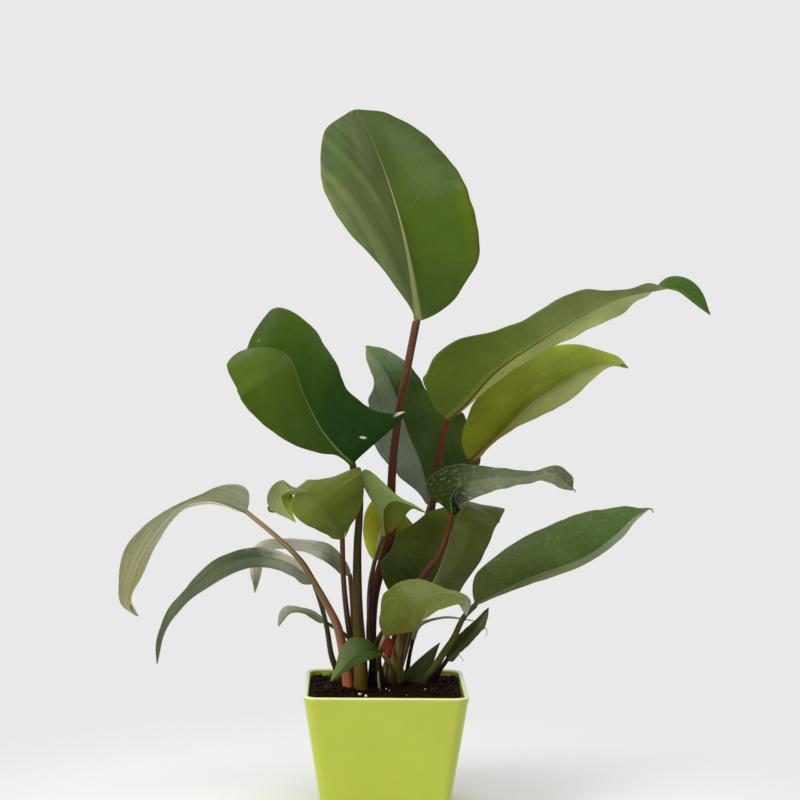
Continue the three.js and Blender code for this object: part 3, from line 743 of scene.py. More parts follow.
@dataclass(frozen=True)
class LeafFinish:
    """Colours of a blade, and how strong its patterns are.

    The colour of a face is one code, or a code near the base and a code far from it.
    """

    left: str
    right: str
    under_left: str
    under_right: str = ""
    rib: str = "6E7A40"
    rib_width: float = 0.6
    edge: str = "4A5A20"
    tip: str = "8A6A48"
    vein: float = 0.12
    mottle: float = 0.35
    dry: float = 0.0
    streak: float = 0.1
    flecks: float = 0.04
    # Strength of the painted fold shading and of the fold bumps on the left half.
    fold_shade_and_bump: float = 0.0
    turn_low: float = 0.15
    turn_high: float = 0.85
    specular: float = 0.14
    relief: float = 0.0005
    spots: tuple[Spot, ...] = ()

    def material(self, name: str, tissue: NodeTree, spot: NodeTree) -> Material:
        """Makes the material of a blade.

        Args:
            name: name of the material.
            tissue: the leaf tissue group.
            spot: the leaf spot group.

        Returns:
            The material.
        """
        material, sheet = new_material(name)
        faces = (self.left, self.right, self.under_left, self.under_right or self.under_left)
        codes = [code for face in faces for code in (face.split() * 2)[:2]]
        colours = zip(TISSUE_COLOURS, (*codes, self.rib, self.edge, self.tip))
        inputs: Inputs = {label: linear(code) for label, code in colours}
        skin = sheet.group(tissue, inputs | {label: getattr(self, label) for label in TISSUE_NUMBERS})
        shown = skin.outputs["Colour"]
        for mark in self.spots:
            shown = mark.lay(sheet, spot, shown)
        sheet.surface(shown, skin.outputs["Roughness"], skin.outputs["Height"], self.relief, self.specular)
        return material


@dataclass(frozen=True)
class StalkFinish:
    """Colours of a stalk from the soil to the blade."""

    foot: str
    middle: str
    top: str
    blush: str = "4A2414"
    specular: float = 0.15
    relief: float = 0.0003

    def material(self, name: str, skin: NodeTree) -> Material:
        """Makes the material of a stalk.

        Args:
            name: name of the material.
            skin: the stalk skin group.

        Returns:
            The material.
        """
        material, sheet = new_material(name)
        made = sheet.group(skin, {label: linear(getattr(self, label)) for label in STALK_COLOURS}).outputs
        sheet.surface(made["Colour"], made["Roughness"], made["Height"], self.relief, self.specular)
        return material


# ---- Leaves


@dataclass(frozen=True)
class Half:
    """One half of a blade: its widths and lifts at even steps along the midrib.

    sweep and lobe are how far it reaches beyond the tip and the base as a round lobe.
    """

    widths: tuple[float, ...]
    lift: tuple[float, ...]
    sweep: float = 0.0
    lobe: float = 0.0


@dataclass(frozen=True)
class LeafShape:
    """The shape of a leaf, as the CAD solid has it."""

    name: str
    spine: Points
    face: Points
    left: Half
    right: Half
    wave: Pair
    petiole: Points
    radius: Pair
    steady: float = 0.0
    camber: float = 0.05

    def half(self, sign: int) -> Half:
        """The left half for 1, and the right half for -1."""
        return self.left if sign > 0 else self.right


@dataclass
class BladeBuilder:
    """Builds the fine blade of a leaf."""

    rows: int = 120
    half_columns: int = 26
    thickness: float = 0.9
    edge_thickness: float = 0.3
    end_crowding: float = 0.5
    edge_crowding: float = 0.45
    end_rounding: float = 0.09
    rib_share: float = 0.5
    tip_half_width: float = 0.5
    corrugation: float = 0.03
    ripple: float = 0.35
    ripple_pitch: float = 3.7
    ripple_offset: float = 2.3
    groove: float = 0.12
    keel_share: float = 0.9
    thinning: float = 0.7
    steady_share: float = 0.2
    crinkle_start: Pair = (1.5, 8)
    crinkle_end: Pair = (0.8, 1)
    sweep_range: Pair = (0.6, 1)
    lobe_range: Pair = (0, 0.3)
    lobe_power: float = 1.5

    def rounding(self, along: Array) -> tuple[Array, Array]:
        """Shares from 0 at an end of the midrib to 1, as a quarter circle: for the base and the tip."""
        near, far = (np.sqrt(1 - (1 - np.minimum(end / self.end_rounding, 1)) ** 2) for end in (along, 1 - along))
        return near, far

    def neck(self, shape: LeafShape, along: Array) -> Array:
        """Half width of the midrib, which narrows evenly to the tip."""
        return shape.radius[1] * (1 - along) + self.tip_half_width * along

    def frames(self, shape: LeafShape, along: Array) -> tuple[Array, Array, Array, Array]:
        """Points of the midrib, with the vectors square to the blade, to its left and along it.

        Args:
            shape: the leaf.
            along: places along the midrib.

        Returns:
            The points, the normals, the vectors to the left and the tangents.
        """
        curve = Spline(shape.spine)
        chord = unit(curve.at(np.array([1.0])) - curve.at(np.array([0.0])))
        steady = (shape.steady * smooth_step(along, 0, self.steady_share))[:, None]
        tangent = unit(curve.tangents(along) * (1 - steady) + chord * steady)
        facing = even_direction(shape.face, along)
        normal = unit(facing - (facing * tangent).sum(1, keepdims=True) * tangent)
        return curve.at(along), normal, np.cross(normal, tangent), tangent

    def half_surface(self, shape: LeafShape, sign: int, along: Array, reach: Array) -> tuple[Array, Array]:
        """How far a half stands out and up from the midrib.

        out grows evenly from the midrib to the edge. up is out times the sine of the lift, with a
        soft bottom at the midrib, plus an arch of camber * width * 4 * reach * (1 - reach), waves
        that grow with the cube of reach, and low corrugations along the lateral veins.

        Args:
            shape: the leaf.
            sign: 1 for the left half and -1 for the right half.
            along: places along the midrib.
            reach: shares of the way to the edge.

        Returns:
            Distances out and up in millimetres, as rows and columns.
        """
        side, neck = shape.half(sign), self.neck(shape, along)
        near, far = self.rounding(along)
        width = np.maximum(neck, np.maximum(even_value(side.widths, along), 0) * near * far)[:, None]
        lift = np.radians(even_value(side.lift, along))[:, None]
        u, r = along[:, None], reach[None, :]
        arch = np.sin(np.pi * u)
        out = width * r
        soft = (neck * self.rib_share)[:, None]
        up = (np.sqrt(out**2 + soft**2) - soft) * np.sin(lift)
        up += shape.camber * width * 4 * r * (1 - r) * arch**0.5
        height, count = shape.wave
        turns = 2 * np.pi * count * u
        up += height * r**3 * np.sin(turns + sign) * arch
        up += self.ripple * height * r**4 * np.sin(self.ripple_pitch * turns + self.ripple_offset * sign) * arch
        line = (Spline(shape.spine).length * u - VEIN_SLANT * out - VEIN_CURL * out**2) / VEIN_SPACING
        fade = smooth_step(out, *self.crinkle_start) * (1 - smooth_step(r, *self.crinkle_end)) * arch
        up += self.corrugation * np.sin(2 * np.pi * line) * fade
        return out * np.cos(lift), up

    def edge_shift(self, side: Half, tangent: Array, along: Array) -> Array:
        """How far the edge of a half is moved along the midrib for its lobes.

        Args:
            side: the half.
            tangent: the way of the midrib at each place.
            along: places along the midrib.

        Returns:
            One vector for each place.
        """
        near, far = self.rounding(along)
        tip, base = smooth_step(along, *self.sweep_range), 1 - smooth_step(along, *self.lobe_range)
        return tangent * (side.sweep * tip * far - side.lobe * base * near)[:, None]

    def surface(self, shape: LeafShape) -> Surface:
        """The closed surface of a blade.

        Each section is a loop: over the upper face from the right edge to the left edge, and back
        under. The under face carries the midrib as a round keel.

        Args:
            shape: the leaf.

        Returns:
            The surface with its leaf_place and leaf_size values.
        """
        even = np.linspace(0, 1, self.rows + 1)
        along = even * (1 - self.end_crowding) + (1 - np.cos(np.pi * even)) / 2 * self.end_crowding
        middle, normal, left, tangent = self.frames(shape, along)
        share = np.linspace(0, 1, self.half_columns + 1)
        reach = (1 - self.edge_crowding) * share + self.edge_crowding * share**2
        signs = np.concatenate([-np.ones(self.half_columns), np.ones(self.half_columns + 1)])
        reaches = np.concatenate([reach[:0:-1], reach])
        halves = self.half_surface(shape, -1, along, reach[:0:-1]), self.half_surface(shape, 1, along, reach)
        out, up = (np.hstack(pair) for pair in zip(*halves))
        neck = self.neck(shape, along)[:, None]
        half = (self.thickness + (self.edge_thickness - self.thickness) * reaches**self.thinning) / 2
        round_keel = np.sqrt(np.clip(1 - (out / (self.keel_share * neck)) ** 2, 0, 1))
        keel = neck * (1 - along[:, None]) * round_keel
        groove = self.groove * neck * np.exp(-((out / neck) ** 2))
        across = left[:, None, :] * (signs * out)[:, :, None]
        for sign in (-1, 1):
            share_out = np.where(signs == sign, reaches, 0.0) ** self.lobe_power
            across += self.edge_shift(shape.half(sign), tangent, along)[:, None, :] * share_out[None, :, None]
        upper = middle[:, None] + across + normal[:, None] * (up + half - groove)[:, :, None]
        lower = middle[:, None] + across + normal[:, None] * (up - half - keel)[:, :, None]

        run = Spline(shape.spine).length * along[:, None] * MM
        upper_place, lower_place, size = (
            np.stack([np.broadcast_to(v, out.shape) for v in values], axis=-1)
            for values in (
                (along[:, None], signs * reaches, 0.0),
                (along[:, None], signs * reaches, 1.0),
                (run, signs * out * MM, out / neck),
            )
        )
        sheets = {"points": (upper, lower), "leaf_place": (upper_place, lower_place), "leaf_size": (size, size)}
        loops = {name: np.concatenate([over, under[:, ::-1]], axis=1) for name, (over, under) in sheets.items()}
        return loft(loops.pop("points"), loops)


@dataclass
class StalkBuilder:
    """Builds fine stalks."""

    sides: int = 20
    rows: int = 90
    root_depth: float = 16.0
    overlap: float = 0.6
    ridges: Points = ((0.025, 5, 9), (0.015, 9, -14))

    def surface(self, spine: Points, petiole: Points, radius: Pair, taper: float = 2.0) -> Surface:
        """The closed surface of a stalk.

        The radius is top + (base - top) * (1 - share above the soil) ** taper. Low ridges wind
        along it, each with its height as a share of the radius, its count and its twist.

        Args:
            spine: the midrib that the stalk leads to.
            petiole: points of the stalk above the soil.
            radius: radii at the soil and at the blade.
            taper: how fast the stalk narrows.

        Returns:
            The surface with its stalk_place values.
        """
        x, y, z = petiole[0]
        heading = Spline(spine).tangents(np.array([0.0]))[0]
        end = np.asarray(spine[0], float) + heading * self.overlap
        curve = Spline(((x, y, z - self.root_depth), *petiole, tuple(end)))
        buried = self.root_depth / curve.length
        along = np.linspace(0, 1, self.rows + 1)
        above = np.clip((along - buried) / (1 - buried), 0, 1)
        base, top = radius
        radii = top + (base - top) * (1 - above) ** taper
        angle, climb = 2 * np.pi * ring_turns(self.sides)[None, :], along[:, None]
        ridges = sum((high * np.sin(count * angle + twist * climb) for high, count, twist in self.ridges), 1.0)
        return tube(curve, above, radii[:, None] * ridges, heading)


@dataclass(frozen=True)
class Thread:
    """A thin end or hair: its points and its radii at both ends."""

    points: Points
    radius: Pair
    rows: int = 24
    sides: int = 8

    def surface(self) -> Surface:
        """The closed surface of the thread.

        Returns:
            The surface with its stalk_place values.
        """
        along = np.linspace(0, 1, self.rows + 1)
        first, last = self.radius
        swell = np.broadcast_to((first + (last - first) * along)[:, None], (self.rows + 1, self.sides))
        return tube(Spline(self.points), along, swell)


THREADS = {
    "leaf_tips": (
        Thread(((204, 27.5, 387.5), (207, 27, 386.5), (210, 26, 384)), (0.9, 0.3)),
        Thread(((-217.5, -42, 183), (-214, -42, 177), (-210, -42, 174)), (1.2, 0.3)),
        Thread(((217, -34.5, 265.5), (222, -35.5, 267.5), (225, -36, 267), (226, -36, 264)), (1.1, 0.4)),
        Thread(((153, -45, 286), (156.5, -46, 285), (159, -46, 282.5)), (1.2, 0.3)),
        Thread(((-94, 1, 261), (-98, 1, 259), (-101, 1, 259.5), (-102.3, 1, 262), (-100.5, 1, 264)), (1.4, 0.8)),
    ),
    "leaf_hairs": (
        Thread(((83, 21, 158), (87, 20, 156), (89, 20, 152.5), (88, 20, 148)), (0.4, 0.2)),
        Thread(((61, 29, 133), (64, 28, 130.5), (67, 28, 128), (69, 28, 124.5)), (0.4, 0.2)),
    ),
}

LEAVES = (
    LeafShape("top", wave=(1.2, 3), radius=(5, 3.4),
        spine=((24, 0, 424), (18, -8, 468), (9, -8, 509), (-5, 4, 553), (-19, 18, 587), (-31, 30, 606)),
        petiole=((-6, 34, 104), (-12, 36, 141), (-12, 34, 162), (-10, 30, 183), (-4, 24, 209), (5, 16, 242),
            (4, 12, 276), (5, 10, 303), (9, 6, 341), (16, 2, 381)),
        face=((0.4, -0.9, 0.1), (0.38, -0.92, 0), (0.38, -0.92, 0.2), (0.3, -0.8, 0.5)),
        left=Half((3, 11, 20, 30, 38.5, 45.5, 53, 62, 71, 76, 77.5, 77, 75.5, 71.5, 66.5, 61, 55.5, 49.5, 43, 33, 15),
            (55, 40, 25, 12, 5)),
        right=Half((30, 35, 41.5, 49, 58, 62.5, 64, 64.5, 64.5, 63.5, 63.5, 63, 61.5, 58.5, 54, 50, 44.5, 38, 29.5,
            23, 12), (10, 15, 15, 10, 5))),
    LeafShape("upper_left", wave=(1.2, 3), radius=(6.5, 3), steady=0.6,
        spine=((-30, -22, 303), (-43, -30, 316), (-57, -36, 334), (-73, -38, 366), (-82, -32, 390), (-90, -24, 398),
            (-107, -8, 401), (-122, 9, 399)),
        petiole=((-21, 4, 105), (-22, 6, 138), (-24, 6, 165), (-25, 4, 194), (-25, 2, 233), (-24, 0, 252),
            (-24, -6, 275)),
        face=((-0.4, -0.85, 0), (-0.4, -0.85, 0.1), (-0.4, -0.8, 0.3), (-0.5, -0.5, 0.7)),
        left=Half((2, 3, 4.5, 11.5, 17.5, 23.5, 29, 33.5, 38, 42.5, 46.5, 50.5, 53, 53.5, 52.5, 49.5, 45, 39.5, 33,
            25.5, 15), (20, 20, 20, 10), sweep=8.0),
        right=Half((14, 71, 61, 52, 48, 46.5, 44, 42.5, 44, 45.5, 44.5, 41, 37.5, 36.5, 35, 35, 35.5, 36, 36, 34, 24),
            (0, 15, 20, 10), sweep=10.0)),
    LeafShape("back", wave=(2, 3), radius=(4, 3),
        spine=((40, 50, 260), (30, 48, 297), (19, 48, 323), (4, 50, 366), (-8, 56, 386), (-19, 62, 400)),
        petiole=((0, 50, 107), (7, 54, 130), (15, 54, 166), (26, 52, 212)),
        face=((0.3, -0.95, 0.1), (0.3, -0.95, 0.1), (0.3, -0.85, 0.3)),
        left=Half((8, 7, 10, 15.5, 21, 24, 27, 30, 32, 33, 33, 31.5, 29, 27, 25.5, 17, 12.5, 10.5, 9, 6.5, 2),
            (0, 0, 0)),
        right=Half((27, 34, 44, 53, 56, 56.5, 56, 55, 54, 51.5, 44, 37, 31, 28, 26.5, 24, 22, 18.5, 15, 10.5, 5),
            (0, 5, 5))),
    LeafShape("upper_right", wave=(1.5, 3), radius=(4, 3),
        spine=((51, 16, 339), (65, 14, 351), (92, 8, 381), (128, 0, 407), (163, -6, 429), (198, -12, 446),
            (223, -16, 452), (247, -22, 454), (272, -34, 433)),
        petiole=((11, 46, 107), (17, 42, 132), (25, 36, 169), (33, 32, 214), (40, 28, 261), (44, 22, 297)),
        face=((-0.4, 0.75, 0.5), (-0.4, 0.8, 0.45), (-0.4, 0.85, 0.4), (-0.35, 0.88, 0.35), (-0.3, 0.9, 0.3),
            (-0.3, 0.9, 0.3), (-0.2, 0.5, 0.85), (0, -0.7, 0.7), (0.3, -0.8, 0.5)),
        left=Half((5, 5.5, 6, 8, 10, 11, 12, 12.5, 13, 13.5, 14.5, 14, 15.5, 17, 19.5, 17, 13, 12, 11, 8, 3),
            (0, 0, 0, 0, 0, 0, 10, 35, 30)),
        right=Half((34, 47, 47, 50, 46.5, 37, 30, 26, 22.5, 22, 22, 22, 19.5, 12, 8, 9, 11, 11, 10, 8, 3),
            (10, 16, 20, 20, 20, 15, 15, 35, 30), lobe=7.0)),
    LeafShape("yellow", wave=(1, 2), radius=(4, 2.6),
        spine=((73, 34, 301), (95, 36, 322), (122, 38, 349), (150, 38, 369), (176, 34, 383), (196, 30, 388),
            (210, 26, 384)),
        petiole=((8, 57, 109), (17, 52, 130), (29, 46, 176), (48, 42, 226), (60, 38, 262)),
        face=((0.1, -0.9, 0), (0.1, -0.9, 0.1), (0.1, -0.8, 0.4)),
        left=Half((23, 25.5, 29, 34, 38, 39.5, 40, 40, 40, 39.5, 39, 38, 37, 34.5, 31, 26.5, 21, 14.5, 9, 6, 3),
            (20, 20, 14)),
        right=Half((5, 7, 5, 5, 6.5, 10, 13.5, 19, 24, 27, 30, 31, 32, 32, 31.5, 29, 25, 19, 13, 8, 4), (60, 60, 50))),
    LeafShape("mid_right", wave=(1, 2), radius=(7.5, 2.6),
        spine=((56, -10, 259), (55, -16, 274), (63, -24, 286), (88, -32, 292), (116, -38, 294), (141, -42, 297),
            (156, -46, 284)),
        petiole=((8, 30, 104), (13, 14, 140), (20, 0, 168), (31, -6, 203), (45, -9, 224), (52, -9, 243)),
        face=((-0.5, -0.7, 0.5), (-0.4, -0.6, 0.75), (0, -0.5, 0.85), (0, -0.4, 0.9)),
        left=Half((8, 12, 33, 31, 27, 23.5, 20, 17.5, 15, 13, 11, 10, 9, 8, 7, 7, 9, 12.5, 10.5, 10, 5), (0, 5, 10)),
        right=Half((11, 12, 14, 18, 21, 22, 20.5, 17.5, 14, 11.5, 10, 9, 7.5, 7, 6.5, 6, 8, 9, 8.5, 7, 3),
            (10, -10, -40, -20))),
    LeafShape("centre_dark", wave=(0.8, 2), radius=(3.6, 2.4),
        spine=((16, 10, 170), (30, 13, 182), (42, 14, 198), (53, 16, 226), (60, 18, 248), (67, 24, 260),
            (73, 34, 263), (84, 46, 261), (95, 56, 256)),
        petiole=((-12, 12, 103), (-9, 11, 138), (0, 9, 156)),
        face=((0, -1, 0.1), (0, -1, 0.1), (0, -0.8, 0.4), (-0.1, 0, 1)),
        left=Half((54, 49.5, 48.5, 48.5, 48.5, 48.5, 47.5, 46.5, 45.5, 43.5, 40.5, 33, 26, 16, 8, 5, 4, 3.5, 3, 2, 1),
            (10, 10, 10, 0)),
        right=Half((8, 9, 12, 19, 24, 24.5, 25, 27, 29.5, 31.5, 32.5, 34, 34.5, 34, 33.5, 33.5, 34, 32, 28, 22, 14),
            (10, 10, 5, 0))),
    LeafShape("front_light", wave=(0.8, 2), radius=(3.4, 2.2),
        spine=((-1, -8, 152), (11, -22, 167), (26, -34, 184), (41, -44, 193), (55, -52, 196), (66, -56, 191),
            (67, -56, 178)),
        petiole=((-1, 10, 103), (-6, 0, 130), (-4, -6, 143)),
        face=((-0.3, -0.9, 0.3), (-0.2, -0.8, 0.5), (0, -0.6, 0.8), (0.5, -0.4, 0.3)),
        left=Half((14, 17, 27, 28, 26, 21, 13, 6, 4, 5, 2), (10, 10, 10)),
        right=Half((3, 4, 5, 8, 11, 14.5, 18, 20, 22, 25.5, 30, 34, 37, 37, 35, 30, 22, 15, 11, 8, 4), (10, 10, 10))),
    LeafShape("long_right", wave=(0.8, 2), radius=(4, 2.4),
        spine=((78, 8, 178), (99, 2, 190), (127, -8, 205), (170, -22, 224), (196, -30, 245), (209, -33, 259),
            (223, -36, 268)),
        petiole=((33, 22, 104), (45, 20, 123), (52, 18, 135), (59, 16, 146), (68, 12, 166)),
        face=((-0.2, -0.9, 0.4), (-0.2, -0.9, 0.4), (-0.2, -0.9, 0.4)),
        left=Half((20, 23, 25.5, 28, 30, 32, 33.5, 35, 36, 36.5, 37, 37.5, 37, 36.5, 34.5, 31.5, 27, 22, 14, 6, 3),
            (15, 15, 10)),
        right=Half((6, 7, 8, 11, 14, 16, 18, 19, 20, 19, 18, 17, 16, 15, 14.5, 14, 12.5, 10.5, 8, 5, 2),
            (60, 55, 45))),
    LeafShape("low_right", wave=(0.4, 2), radius=(3, 2),
        spine=((55, 34, 125), (66, 30, 139), (78, 24, 155), (90, 16, 174)),
        petiole=((44, 38, 104), (48, 37, 114)),
        face=((-0.6, -0.7, 0.5), (-0.6, -0.7, 0.5)),
        left=Half((5, 7, 8, 8, 7, 6, 5, 4, 3, 2, 1), (20, 20)),
        right=Half((6, 9, 10, 10, 10, 9.5, 10.5, 11, 11.5, 12, 12, 12.5, 13, 14, 14, 14.5, 16, 14, 11, 8, 3),
            (20, 20))),
    LeafShape("drooping_pale", wave=(0.6, 2), radius=(5.5, 2),
        spine=((-121, -10, 260), (-136, -14, 267), (-151, -18, 271), (-170, -24, 268), (-192, -32, 248),
            (-207, -38, 226), (-216, -42, 203), (-219, -42, 187), (-211, -42, 174)),
        petiole=((-32, 19, 105), (-39, 14, 146), (-43, 12, 160), (-53, 8, 180), (-63, 4, 198), (-73, 0, 215),
            (-93, -6, 236)),
        face=((0, 0.75, 0.65), (0, 0.85, 0.5), (-0.4, 0.85, 0.35), (-0.5, 0.85, 0)),
        left=Half((18, 21.5, 21.5, 17.5, 11, 5.5, 4, 4.5, 6.5, 9, 11, 13, 15, 16.5, 16.5, 15, 12.5, 10, 7.5, 4.5, 3),
            (10, 10)),
        right=Half((6, 6, 5.5, 7, 7.5, 8, 6.5, 4, 3.5, 4, 6, 8, 9.5, 11, 11, 10.5, 8, 5, 3.5, 2.5, 2),
            (10, 20, 20, 10))),
    LeafShape("drooping_dark", wave=(0.6, 2), radius=(3, 2),
        spine=((-63, 15, 196), (-83, 8, 212), (-107, -4, 220), (-134, -18, 216), (-155, -24, 203), (-175, -30, 183.5),
            (-190, -34, 160), (-195, -36, 132)),
        petiole=((-39, 35, 104), (-47, 31, 128), (-51, 27, 152), (-56, 22, 173)),
        face=((0, -0.5, 0.9), (-0.1, -0.5, 0.8), (-0.5, -0.6, 0.5), (-0.7, -0.6, 0.2)),
        left=Half((13, 18, 21, 25, 27, 25, 22, 19, 17.5, 16.5, 16, 14.5, 12, 9, 6, 5, 4, 3.5, 3, 2.5, 1.5), (10, 10)),
        right=Half((5, 7, 9, 10, 11, 12, 12, 12, 12, 12, 11.5, 10.5, 8.5, 6.5, 6.5, 7, 6, 4.5, 4.5, 4, 2), (10, 10))),
    LeafShape("folded_grey", wave=(0.5, 2), radius=(3, 2),
        spine=((-31, 34, 199), (-42, 32, 211), (-55, 30, 220), (-68, 28, 224), (-84, 26, 226), (-101, 20, 226),
            (-110, 14, 222), (-112, 10, 211), (-112, 8, 200), (-114, 8, 187)),
        petiole=((-27, 36, 104), (-28, 35, 140), (-29, 35, 170)),
        face=((0, -0.4, 0.9), (0, -0.4, 0.9), (-0.5, -0.5, 0.6), (-0.8, -0.5, 0)),
        left=Half((6, 11, 16, 17, 17, 18, 17, 12.5, 10, 9, 8, 8, 8, 8, 8, 8.5, 8.5, 8, 6, 4, 2), (10, 10)),
        right=Half((6, 7, 8.5, 11, 12.5, 13, 12, 11, 10.5, 10, 9.5, 9, 9.5, 10, 9, 8, 8, 8.5, 8, 4.5, 2), (10, 10))),
    LeafShape("low_left", wave=(0, 1), radius=(2.4, 1.6),
        spine=((-53, 44, 156), (-71, 46, 164), (-84, 44, 164), (-94, 38, 153)),
        petiole=((-16, 38, 104), (-22, 40, 125), (-34, 42, 144)),
        face=((0, -0.4, 0.9), (-0.6, -0.4, 0.6)),
        left=Half((3, 5.5, 6, 6, 5.5, 5, 4.5, 3.5, 2.5, 2, 1.5, 1.5, 1.5, 1.5, 1.5, 1.5, 1.5, 1.5, 1, 1, 1),
            (10, 10)),
        right=Half((2, 3, 4, 4.5, 5, 5.5, 5.5, 5.5, 5.5, 5.5, 6, 7, 8.5, 10.5, 11, 10, 8.5, 7, 5, 4, 2), (10, 10))),
    LeafShape("small_front", wave=(0.4, 2), radius=(2.4, 1.8),
        spine=((-2, -14, 137), (-15, -24, 142), (-28, -32, 138), (-38, -38, 128), (-47, -42, 119)),
        petiole=((8, 12, 103), (6, 0, 122)),
        face=((0, -0.7, 0.7), (0, -0.7, 0.7), (-0.4, -0.7, 0.4)),
        left=Half((3, 4, 7, 10, 11, 10, 8, 6, 4, 3, 1), (10, 10)),
        right=Half((3, 4, 9, 14, 17, 15, 12, 9, 6, 4, 2), (10, 10))),
    LeafShape("mid_left", wave=(0.8, 2), radius=(3.4, 2.2),
        spine=((-38, -16, 237), (-46, -25, 253), (-57, -29, 267), (-65, -20, 278), (-79, -6, 279), (-91, 0, 273),
            (-88, 0, 262), (-79, -2, 250)),
        petiole=((-22, 23, 104), (-32, 19, 155), (-37, 0, 200)),
        face=((-0.1, -0.95, 0.2), (-0.1, -0.9, 0.4), (-0.2, 0, 1), (-0.5, 0.8, 0.2), (-0.2, 0.95, 0)),
        left=Half((4, 8, 9.5, 12.5, 15, 17, 20.5, 24, 24, 20, 15, 12, 12, 13, 13, 13, 13, 11, 6, 3, 2), (10, 10)),
        right=Half((6, 8, 12, 22, 32, 39, 45, 48, 46, 24, 15, 13, 13, 14, 16, 17, 15, 11, 7, 3, 2), (10, 32, 32, 10))),
    LeafShape("centre_green", wave=(0.4, 2), radius=(1.9, 1.5), steady=0.9,
        spine=((-2, 4, 237), (-3, -4, 253), (-2, -9, 264), (6, -11, 270), (19, -12, 267), (34, -12, 260)),
        petiole=((-10, 22, 104), (-13, 20, 160), (-12, 13, 200), (-8, 6, 222)),
        face=((0.3, -0.9, 0), (0.2, -0.95, 0.1), (0, -0.95, 0.15), (0.2, -0.6, 0.7)),
        left=Half((0, 0, 3, 16, 34, 34, 11, 4, 3, 2, 1), (0, 0)),
        right=Half((3, 6, 10, 15, 19, 20, 17, 9, 3, 2, 1), (10, 10))),
    LeafShape("lime", wave=(0.8, 2), radius=(2.6, 1.8),
        spine=((-10, 26, 213), (-9, 30, 227), (-5, 34, 244), (8, 36, 261)),
        petiole=((-10, 48, 104), (-14, 44, 150), (-14, 34, 190)),
        face=((0.1, -1, 0), (0.1, -0.9, 0.3)),
        left=Half((3, 3.5, 5.5, 7, 8.5, 10, 11, 12, 13, 14, 14.5, 15.5, 16.5, 17.5, 18, 18.5, 18.5, 16.5, 12.5, 8, 4),
            (14, 10)),
        right=Half((5, 5, 6, 9, 12, 14.5, 17, 19, 21, 23, 24, 25.5, 26, 26, 26, 26.5, 27, 28, 28, 25, 16), (14, 10))),
    LeafShape("young_red", wave=(0, 1), radius=(2.4, 2),
        spine=((1, 6, 132), (1, 6, 143), (0, 4, 154)),
        petiole=((0, 20, 104), (1, 14, 118)),
        face=((0.2, -1, 0), (0.2, -1, 0.2)),
        left=Half((3, 4, 5, 5, 5, 5, 5, 4, 3, 2, 1), (-20, -10)),
        right=Half((3, 4, 5, 6, 6, 6, 5, 4, 3, 2, 1), (-20, -10))),
    LeafShape("thin_back", wave=(0.4, 2), radius=(2.4, 1.6),
        spine=((25, 49, 140), (31, 47, 153), (51, 40, 161), (78, 32, 160)),
        petiole=((20, 54, 104), (22, 52, 124)),
        face=((-0.5, 0.3, 0.8), (0, 0.1, 1)),
        left=Half((4, 5, 8, 10, 11, 11, 10, 9, 7, 4, 2), (6, 4)),
        right=Half((4, 5, 8, 10, 11, 11, 10, 9, 7, 4, 2), (6, 4))),
)


@dataclass(frozen=True)
class LeafDress:
    """Which finishes a leaf wears, and the slots they come from."""

    blade: LeafFinish
    blade_slot: Slot
    stalk: StalkFinish
    stalk_slot: Slot


